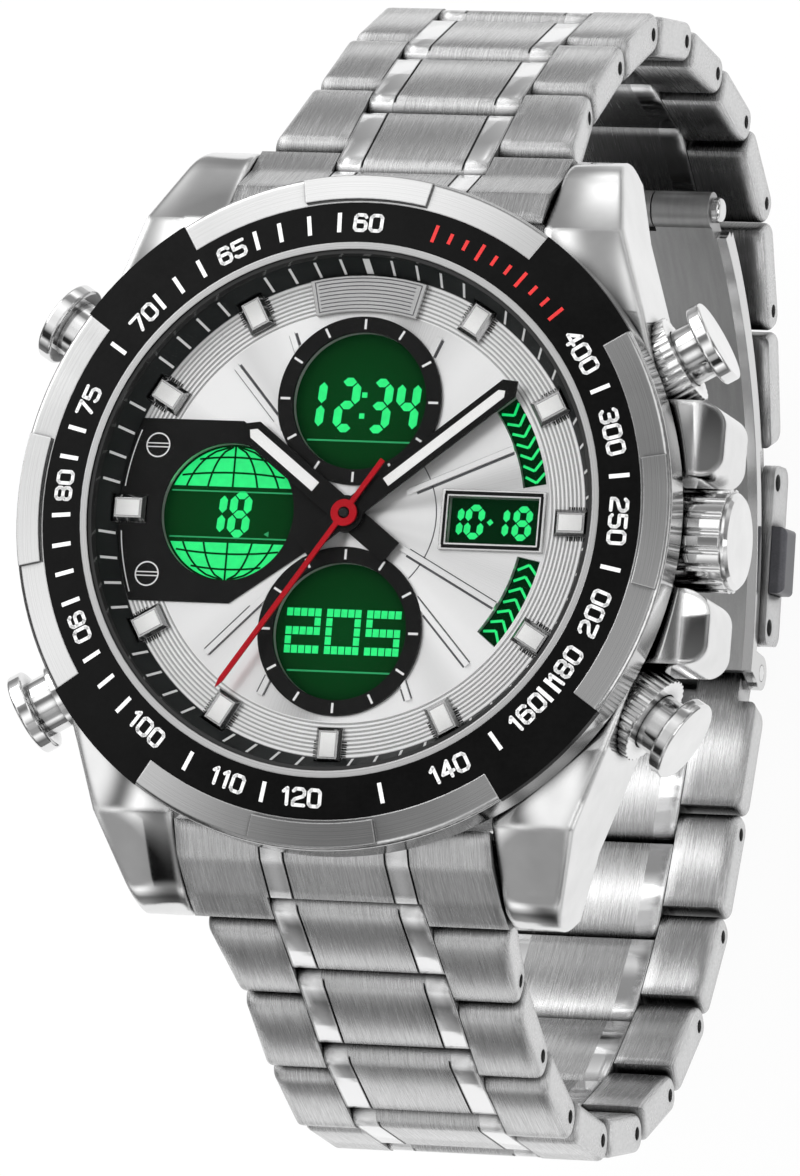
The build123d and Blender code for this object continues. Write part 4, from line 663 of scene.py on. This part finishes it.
scale_numbers = {"60": 1.0, "400": 55.0, "300": 72.5, "250": 90.4, "200": 109.1, "180": 121.0,
                 "160": 132.6, "140": 151.6, "120": 182.5, "110": 198.3, "100": 218.4,
                 "90": 243.8, "80": 272.9, "75": 290.3, "70": 310.2, "65": 332.2}
scale_ticks = [355.0, 348.8, 342.7, 337.6, 325.2, 319.6, 314.6, 302.3, 284.4, 278.6, 267.0,
               261.0, 255.3, 249.3, 237.3, 231.4, 225.3, 207.4, 190.5, 166.1, 140.9, 127.6,
               125.4, 99.8, 81.4, 63.5]
bm = bmesh.new()
for text, angle in scale_numbers.items():
    here = on_bezel(angle, NUMBER_REACH, 0.005)
    if LOWER_HALF[0] < angle < LOWER_HALF[1]:
        here = here @ Matrix.Rotation(pi, 4, "Z")
    drawn_number(bm, text, here, NUMBER_SIZE, NUMBER_STROKE)
for angle in scale_ticks:
    slab(bm, on_bezel(angle, TICK_REACH), 0.3, 1.45, PRINT_THICK, PRINT_BASE)
piece(bm, "bezel_numbers", print_white, "case")
print("bezel:", len(scale_numbers), "numbers and", len(scale_ticks), "ticks")

# %% [markdown]
# Between twelve and two the scale turns red: ten plain ticks, every third one longer,
# printed in the same band as the numbers.

# %% Red marks of the bezel
RED_TICKS, RED_FROM, RED_STEP = 10, 15.0, 3.4

bm = bmesh.new()
for k in range(RED_TICKS):
    here = on_bezel(RED_FROM + RED_STEP * k, TICK_REACH)
    slab(bm, here, 0.26, 0.8 if k % 3 else 1.3, PRINT_THICK, PRINT_BASE)
piece(bm, "bezel_red_marks", print_red, "case")

# %% [markdown]
# A dark ring climbs from the dial to the crystal and carries a tick for every minute,
# except at the hours, where the markers stand in notches. Twelve has one broad tick.
# The ticks lie on its slope.

# %% Minute ticks
TRACK_IN, TRACK_OUT, DIAL, TRACK_TOP = 17.15, 18.2, 37.8, 39.6
TICK, BROAD_TICK = 0.19, 0.5
THIN_PRINT = 0.02
climb = atan2(TRACK_TOP - DIAL, TRACK_OUT - TRACK_IN)

bm = bmesh.new()
for minute in range(60):
    if minute % 5 or minute == 0:
        here = clock(6 * minute, (TRACK_IN + TRACK_OUT) / 2, (DIAL + TRACK_TOP) / 2, -climb)
        slab(bm, here, TICK if minute else BROAD_TICK, 1.6, THIN_PRINT, 0.004)
piece(bm, "minute_ticks", print_white, "case")

# %% [markdown]
# Each hour marker is a polished frame round a white block. The frame is the packed
# piece, and the block is a bevelled bar let into its top, as on the real dial. Small
# dark bases with fine lines lie under the frames.

# %% Marker inlays and bases
MARKER_REACH, MARKER_TOP = 16.3, DIAL + 0.58
INLAY_WIDTH, INLAY_LENGTH, INLAY_THICK, INLAY_BEVEL = 1.12, 1.72, 0.07, 0.02
BASE_LINES, BASE_IN, BASE_PITCH, BASE_WIDTH = 7, 16.0, 0.17, 2.4

bm = bmesh.new()
for hour in range(1, 12):
    slab(bm, clock(30 * hour, MARKER_REACH, MARKER_TOP), INLAY_WIDTH, INLAY_LENGTH, INLAY_THICK)
bmesh.ops.bevel(bm, geom=bm.edges[:], offset=INLAY_BEVEL * MM, affect="EDGES", segments=2,
                profile=0.5, material=-1)
piece(bm, "marker_inlays", white_lume, "case")

bm = bmesh.new()
for hour in range(1, 12):
    for line in range(BASE_LINES):
        slab(bm, clock(30 * hour, BASE_IN + BASE_PITCH * line, DIAL), BASE_WIDTH, 0.07, 0.06)
piece(bm, "marker_bases", ring_black, "case")

# %% [markdown]
# The two sub-dial rings have twelve white ticks each. The black plate on the left has
# two round marks with a slot, and a thin white arc at its edge. A round mark is two
# circles bridged to a flat hoop, which is then made a little thick.

# %% Marks of the rings and of the side plate
RING_TOP, SIDE_PLATE_TOP = DIAL + 0.3, DIAL + 0.16
RING_TICK_REACH = 5.45
SLOT_X, SLOT_Y, HOOP_OUT, HOOP_IN = -14.6, 4.6, 0.89, 0.79
ARC_REACH, ARC_MIDDLE, ARC_HALF, ARC_GAP = 16.85, 270, 20, 5

bm = bmesh.new()
for centre in (SUBDIAL_Y, -SUBDIAL_Y):
    for hour in range(12):
        here = spot(0, centre) @ clock(30 * hour, RING_TICK_REACH, RING_TOP)
        slab(bm, here, 0.17, 0.72, THIN_PRINT, 0.003)
for y in (SLOT_Y, -SLOT_Y):
    here = spot(SLOT_X, y, SIDE_PLATE_TOP)
    hoop = [v for radius in (HOOP_OUT, HOOP_IN) for v in bmesh.ops.create_circle(
        bm, segments=40, radius=radius * MM, matrix=here)["verts"]]
    edges = [e for e in bm.edges if e.verts[0] in hoop and e.verts[1] in hoop]
    thicken(bm, bmesh.ops.bridge_loops(bm, edges=edges)["faces"], (0, 0, THIN_PRINT * MM))
    for offset in (-0.13, 0.13):
        slab(bm, here @ spot(0, offset), 1.6, 0.08, THIN_PRINT)
for turn in range(-ARC_HALF, ARC_HALF):
    if abs(turn) > ARC_GAP:
        slab(bm, clock(ARC_MIDDLE + turn, ARC_REACH, SIDE_PLATE_TOP), 0.32, 0.08, THIN_PRINT)
bmesh.ops.recalc_face_normals(bm, faces=bm.faces[:])
piece(bm, "ring_marks", print_white, "case")

# %% [markdown]
# Ribs fan out over the silver middle. A fine dark line along each side of a rib is
# painted shadow, wider on the side that lies in shade, and a line of painted shade marks
# the turned circle that closes the fan towards the hands. The lines are drawn in short
# steps, and a step is left out wherever a display or ring lies over it.

# %% Painted shadow beside the ribs
RIB_ANGLES = (23.0, 66.0, 118.0, 137.0, 157.0, 203.0, 224.0, 318.0, 337.0)
# painted shadow beside each rib: the wider line lies on the shaded side
RIB_SHADOW_LINES = ((-0.25, 0.07), (0.29, 0.17))    # place beside the rib's middle, and width
SHADE_LINE_THICK, SHADE_LINE_IN, SHADE_LINE_STEP = 0.012, 5.2, 0.22
FAN_REACH, FAN_FROM, FAN_STEP = 6.3, 46, 1.1
SUBDIAL_EDGE, SILVER_EDGE = 6.1, 13.9
PLATE_RIGHT, PLATE_HALF = -3.4, 6.6
FRAME_LEFT, FRAME_HALF = 6.5, 2.3
ARROWS_IN, ARROW_SPANS = 12.6, ((51, 80), (100, 129))


def dial_is_free(x, y):
    """Whether the silver shows at x, y in mm, clear of displays, plate and frame."""
    angle, reach = degrees(atan2(x, y)) % 360, hypot(x, y)
    rings = min(hypot(x, y - SUBDIAL_Y), hypot(x, y + SUBDIAL_Y)) > SUBDIAL_EDGE
    plate = x > PLATE_RIGHT or abs(y) > PLATE_HALF
    date = x < FRAME_LEFT or abs(y) > FRAME_HALF
    arrows = reach < ARROWS_IN or not any(a < angle < b for a, b in ARROW_SPANS)
    return rings and plate and date and arrows and reach < SILVER_EDGE


def paint_shade_step(bm, here, width, length):
    """One step of a painted shade line, where the dial shows."""
    if dial_is_free(here.translation.x / MM, here.translation.y / MM):
        slab(bm, here, width, length, SHADE_LINE_THICK)


bm = bmesh.new()
for angle in RIB_ANGLES:
    for k in range(40):
        here = clock(angle, SHADE_LINE_IN + SHADE_LINE_STEP * k, DIAL)
        for offset, width in RIB_SHADOW_LINES:
            paint_shade_step(bm, here @ spot(offset, 0), width, 0.24)
# painted shade along the edge of the turned circle
for k in range(80):
    paint_shade_step(bm, clock(FAN_FROM + FAN_STEP * k, FAN_REACH, DIAL), 0.14, 0.08)
piece(bm, "rib_and_circle_shade_lines", painted_groove_shade, "case")

# %% [markdown]
# The date frame has a black line round its window. The curved plate at twelve is finely
# ruled inside a thin outline: its grooves get lines of painted shade, so they show even
# in flat light. Both are rows of short bars, because that follows a curve without a path.

# %% Lines of the date frame and of the plate at twelve
DATE_X, DATE_HALF_LENGTH, DATE_HALF_HEIGHT = 10.5, 3.52, 1.9
PLATE_TOP, PLATE_IN, PLATE_ROWS, ROW_PITCH = DIAL + 0.45, 14.75, 9, 0.27
RULE_THICK = 0.015

bm = bmesh.new()
for side in (1, -1):
    slab(bm, spot(DATE_X, side * DATE_HALF_HEIGHT, RING_TOP), 7.16, 0.24, THIN_PRINT)
    slab(bm, spot(DATE_X + side * DATE_HALF_LENGTH, 0, RING_TOP), 0.2, 3.6, THIN_PRINT)
piece(bm, "date_frame_line", hand_black, "case")

# painted shade in the grooves of the plate at twelve, and along its outline
bm = bmesh.new()
for row in range(PLATE_ROWS):
    reach = PLATE_IN + ROW_PITCH * row
    span = 13.5 if row in (0, PLATE_ROWS - 1) else 12.8
    for k in range(int(2 * span)):
        here = clock(-span + k + 0.5, reach, PLATE_TOP)
        slab(bm, here, reach * radians(1) + 0.02, 0.06, RULE_THICK)
for angle in (-13.5, 13.5):
    slab(bm, clock(angle, 15.83, PLATE_TOP), 0.06, 2.2, RULE_THICK)
piece(bm, "plate_groove_shade", painted_groove_shade, "case")

# %% [markdown]
# The displays light up green. Seven-segment digits are built from six-sided bars, one
# for each lit segment, laid on the panel under the windows. The slant and the gaps
# between the bars are what make them read as a display.

# %% Lit digits
PANEL = DIAL - 0.5 - 0.05
LIT_BASE, LIT_THICK = PANEL + 0.01, 0.04
SLANT, BAR_GAP = 0.06, 0.12
SEGMENTS = {"0": "abcdef", "1": "bc", "2": "abged", "3": "abgcd", "4": "fgbc", "8": "abcdefg",
            "-": "g"}
# for each display: middle height, digit height and bar, then each digit's x and width
DISPLAYS = (
    (8.0, 3.3, 0.60, (("1", -3.3, 0.5), ("2", -1.15, 1.15), ("3", 1.25, 1.15), ("4", 3.3, 1.15))),
    (0.0, 2.0, 0.46, (("1", 7.75, 0.3), ("0", 8.95, 0.94), ("-", 10.1, 0.6), ("1", 11.1, 0.3),
                      ("8", 12.45, 0.94))),
    (-0.05, 2.75, 0.56, (("1", -9.85, 0.4), ("8", -8.35, 1.05))))


def segment_digit(bm, digit, x, y, height, width, bar):
    half, quarter, tip = height / 2, height / 4, bar / 2
    spots = {"a": (0, half, True), "g": (0, 0, True), "d": (0, -half, True),
             "f": (-width / 2, quarter, False), "b": (width / 2, quarter, False),
             "e": (-width / 2, -quarter, False), "c": (width / 2, -quarter, False)}
    for name in SEGMENTS[digit]:
        sx, sy, flat = spots[name]
        reach = (width if flat else half) / 2 - bar * BAR_GAP
        line = [(-reach, 0), (-reach + tip, tip), (reach - tip, tip), (reach, 0),
                (reach - tip, -tip), (-reach + tip, -tip)]
        if not flat:
            line = [(-v, u) for u, v in line]
        outline = [(x + sx + u + SLANT * (sy + v), y + sy + v) for u, v in line]
        prism(bm, spot(0, 0, LIT_BASE), outline, LIT_THICK)


def dot(bm, x, y, width, height):
    slab(bm, spot(x, y, LIT_BASE), width, height, LIT_THICK)


bm = bmesh.new()
for y, height, bar, digits in DISPLAYS:
    for digit, x, width in digits:
        segment_digit(bm, digit, x, y, height, width, bar)
for y in (8.75, 7.25):
    dot(bm, 0.05 + SLANT * (y - 8.0), y, 0.38, 0.38)
piece(bm, "lit_digits", bright_green, "case")

# %% [markdown]
# The lower display is a dot matrix: each digit is a grid of small square cells, five
# across and five down, with fine gaps that show the dark panel between them. Thin lines
# of a deeper green underline the upper and lower displays. Two more run above and below
# the number in the left one, with a small triangle at their end.

# %% Dot matrix digits and thin lines
CELLS = {"2": ("11111", "00001", "11111", "10000", "11111"),
         "0": ("11111", "10001", "10001", "10001", "11111"),
         "5": ("11111", "10000", "11111", "00001", "11111")}
CELL_LEFT, CELL_TOP, DIGIT_STEP = -3.98, -6.8, 2.95
COLUMN_STEP, ROW_STEP = 0.52, 0.66

bm = bmesh.new()
for k, digit in enumerate("205"):
    for row, cells in enumerate(CELLS[digit]):
        for column, on in enumerate(cells):
            if on == "1":
                x = CELL_LEFT + DIGIT_STEP * k + COLUMN_STEP * column
                dot(bm, x, CELL_TOP - ROW_STEP * row, 0.44, 0.56)
piece(bm, "lit_cells", bright_green, "case")

bm = bmesh.new()
for centre in (SUBDIAL_Y, -SUBDIAL_Y):
    dot(bm, 0, centre - 2.75, 7.7, 0.12)
dot(bm, GLOBE_X, 1.55, 8.9, 0.10)
dot(bm, GLOBE_X, -1.75, 8.7, 0.10)
prism(bm, spot(0, 0, LIT_BASE), [(-6.1, -1.2), (-6.1, -1.6), (-6.45, -1.4)], 0.03)
piece(bm, "lit_lines", mid_green, "case")

# %% [markdown]
# The left display shows a globe in two lit caps. Each cap is cut out of a disc, and dark
# lines for meridians and parallels lie over it. Meridians are ellipses, so each is a
# circle squeezed across, of which only the cap's part is kept.

# %% Globe
GLOBE_R = 4.75
CAPS = (("globe_upper_cap", 1, 1.9), ("globe_lower_cap", -1, 2.1))    # side, and where it starts
MERIDIANS = (-0.78, -0.42, 0.0, 0.42, 0.78)
PARALLELS = ((2.9, 0.25), (4.0, 0.2))                                 # height and sag


def globe_line(bm, points):
    for start, end in zip(points, points[1:]):
        slab_between(bm, spot(GLOBE_X, 0, PANEL + 0.02), start, end, 0.13, 0.03, spare=0.05)


for name, side, low in CAPS:
    bm = bmesh.new()
    bmesh.ops.create_circle(bm, cap_ends=True, segments=96, radius=GLOBE_R * MM,
                            matrix=spot(GLOBE_X, 0, LIT_BASE))
    bmesh.ops.bisect_plane(bm, geom=bm.verts[:] + bm.edges[:] + bm.faces[:],
                           plane_co=(0, side * low * MM, 0), plane_no=(0, side, 0),
                           clear_inner=True)
    piece(bm, name, bright_green, "case")

bm = bmesh.new()
for name, side, low in CAPS:
    for share in MERIDIANS:
        heights = [low + (GLOBE_R - 0.02 - low) * k / 8 for k in range(9)]
        globe_line(bm, [(share * sqrt(GLOBE_R ** 2 - y * y), side * y) for y in heights])
    for height, sag in PARALLELS:
        half = sqrt(GLOBE_R ** 2 - height ** 2)
        globe_line(bm, [(half * t / 5, side * (height - sag * (t / 5) ** 2))
                        for t in range(-5, 6)])
piece(bm, "globe_lines", panel_green, "case")

# %% [markdown]
# Two curved windows on the right hold rows of lit arrows that point to three o'clock.
# Each arrow is two short bars that meet.

# %% Arrows in the curved windows
ARROWS, ARROW_STEP, ARROW_REACH, ARROW_LEAN = 7, 3.65, 13.55, radians(38)

bm = bmesh.new()
for first, way in ((54.5, 1), (125.5, -1)):
    for k in range(ARROWS):
        here = clock(first + way * ARROW_STEP * k, ARROW_REACH, LIT_BASE)
        for side in (-1, 1):
            lean = Matrix.Rotation(way * side * ARROW_LEAN, 4, "Z")
            slab(bm, here @ spot(0, side * 0.36) @ lean, 0.19, 0.92, 0.03)
piece(bm, "lit_arrows", bright_green, "case")

# %% [markdown]
# The hour and minute hands are black with a white centre line that stops short of the
# hub. The inlay is a long thin plate with a pointed end, and it rides on its hand.
# The second hand has a small polished cap over its arbor.

# %% Hand inlays and the cap
INLAYS = (("hour_hand", 307.0, DIAL + 0.85, 3.1, 9.6, 0.8),
          ("minute_hand", 50.4, DIAL + 1.25, 3.6, 14.2, 0.68))
SECOND_TOP, CAP_HEIGHT = DIAL + 1.62, 0.14

for body, angle, top, start, end, width in INLAYS:
    half = width / 2
    here = spot(0, 0, top + 0.002) @ Matrix.Rotation(-radians(angle), 4, "Z")
    bm = bmesh.new()
    prism(bm, here, [(-half, start), (half, start), (half, end - half), (0, end),
                     (-half, end - half)], 0.03)
    piece(bm, body + "_inlay", white_lume, body)

bm = bmesh.new()
bmesh.ops.create_cone(bm, cap_ends=True, segments=48, radius1=0.42 * MM, radius2=0.30 * MM,
                      depth=CAP_HEIGHT * MM, matrix=spot(0, 0, SECOND_TOP + CAP_HEIGHT / 2))
piece(bm, "second_hand_cap", pin_polish, "second_hand")

# %% [markdown]
# The studio is plain, with a white floor under the watch. Rays from the camera, and
# those that steel or glass sends on, see nine tenths of glowing white and one tenth of
# white paint, which keeps the watch's shadow. All other light meets the paint alone.

# %% Floor
FLOOR_HALF, FLOOR_DROP = 0.12, 0.002      # in metres
CLEAN_RAYS = ("Is Camera Ray", "Is Glossy Ray", "Is Transmission Ray")


def floor_white():
    b = new_finish("floor_white")
    sweep = b.noise((0.01, 0.01, 0.01))
    b.set(Base_Color=b.ramp(sweep, (0.3, 0.86), (0.7, 0.90)), Roughness=0.9)
    seen = sum(b.node("ShaderNodeLightPath", out=kind) for kind in CLEAN_RAYS)
    glow = b.node("ShaderNodeEmission", None, {"Color": (1, 1, 1, 1), "Strength": 1.0})
    b.show(b.blend(seen * 0.9, Wire(b, b.shader.outputs[0]), glow))
    return b.owner


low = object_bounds()[0][2]
bm = bmesh.new()
bmesh.ops.create_grid(bm, x_segments=1, y_segments=1, size=FLOOR_HALF,
                      matrix=Matrix.Translation((0, 0, low - FLOOR_DROP)))
floor = built(bm, "floor", floor_white())

# %% [markdown]
# Three soft lamps light the watch. The key lamp stands high on the left, a weaker one
# fills from the right, and a faint one lights the band from the 6 o'clock side.

# %% Lamps
def lamp(name, place, aim, size, power):
    light = bpy.data.lights.new(name, "AREA")
    light.shape, light.energy = "RECTANGLE", power
    light.size, light.size_y = size
    made = bpy.data.objects.new(name, light)
    made.location = place
    made.rotation_euler = (Vector(place) - Vector(aim)).to_track_quat("Z", "Y").to_euler()
    bpy.context.scene.collection.objects.link(made)


lamp("key_lamp", (-0.60, 0.45, 0.45), (0, 0, 0.02), (0.75, 0.60), 3.5)
lamp("fill_lamp", (0.55, -0.15, 0.35), (0, 0, 0.0), (0.35, 0.35), 0.7)
lamp("front_lamp", (-0.10, -0.60, 0.40), (0, 0, 0.0), (0.70, 0.50), 0.4)
print("lamps set")

# %% [markdown]
# Polished steel shows what is round it, so the world that it mirrors is bright overhead
# and just above the horizon, dark in between, and crossed by broad soft bands. That gives
# the lugs and the links their dark edges. A lighter far side, past 12 o'clock, keeps the
# upper half of the band as bright as the lower. Everything dull gets a plain white sky,
# and the camera sees pure white.

# %% World
SKY_TONES = ((0.0, 0.50), (0.40, 0.12), (0.49, 0.50), (0.58, 1.0), (0.63, 0.30), (0.66, 0.02),
             (0.77, 0.03), (0.83, 0.55), (0.91, 1.05), (1.0, 0.8))
MIRRORED_BAND, FAR_SIDE, PLAIN_LIGHT = 0.6, 0.33, 1.05

sky = Bench(bpy.data.worlds.new("studio"))
bpy.context.scene.world = sky.owner
sky.tree.nodes.remove(sky.tree.nodes["Background"])


def background(strength):
    return sky.node("ShaderNodeBackground", None, {0: (1, 1, 1, 1), 1: strength})


east, north, height = sky.parts(sky.node("ShaderNodeTexCoord", out="Generated"))
wave = sky.math("SINE", east * 8.0 + north * -5.0) * MIRRORED_BAND
mirrored = sky.ramp(height * 0.5 + 0.5, *SKY_TONES) * (wave + 0.85)
mirrored = mirrored + sky.math("MAXIMUM", north, 0.0) * FAR_SIDE
light = sky.blend(sky.node("ShaderNodeLightPath", out="Is Glossy Ray"),
                  background(PLAIN_LIGHT), background(mirrored))
sky.show(sky.blend(sky.node("ShaderNodeLightPath", out="Is Camera Ray"), light, background(1.0)))

scene = bpy.context.scene
scene.view_settings.view_transform = "Standard"
print("studio set")
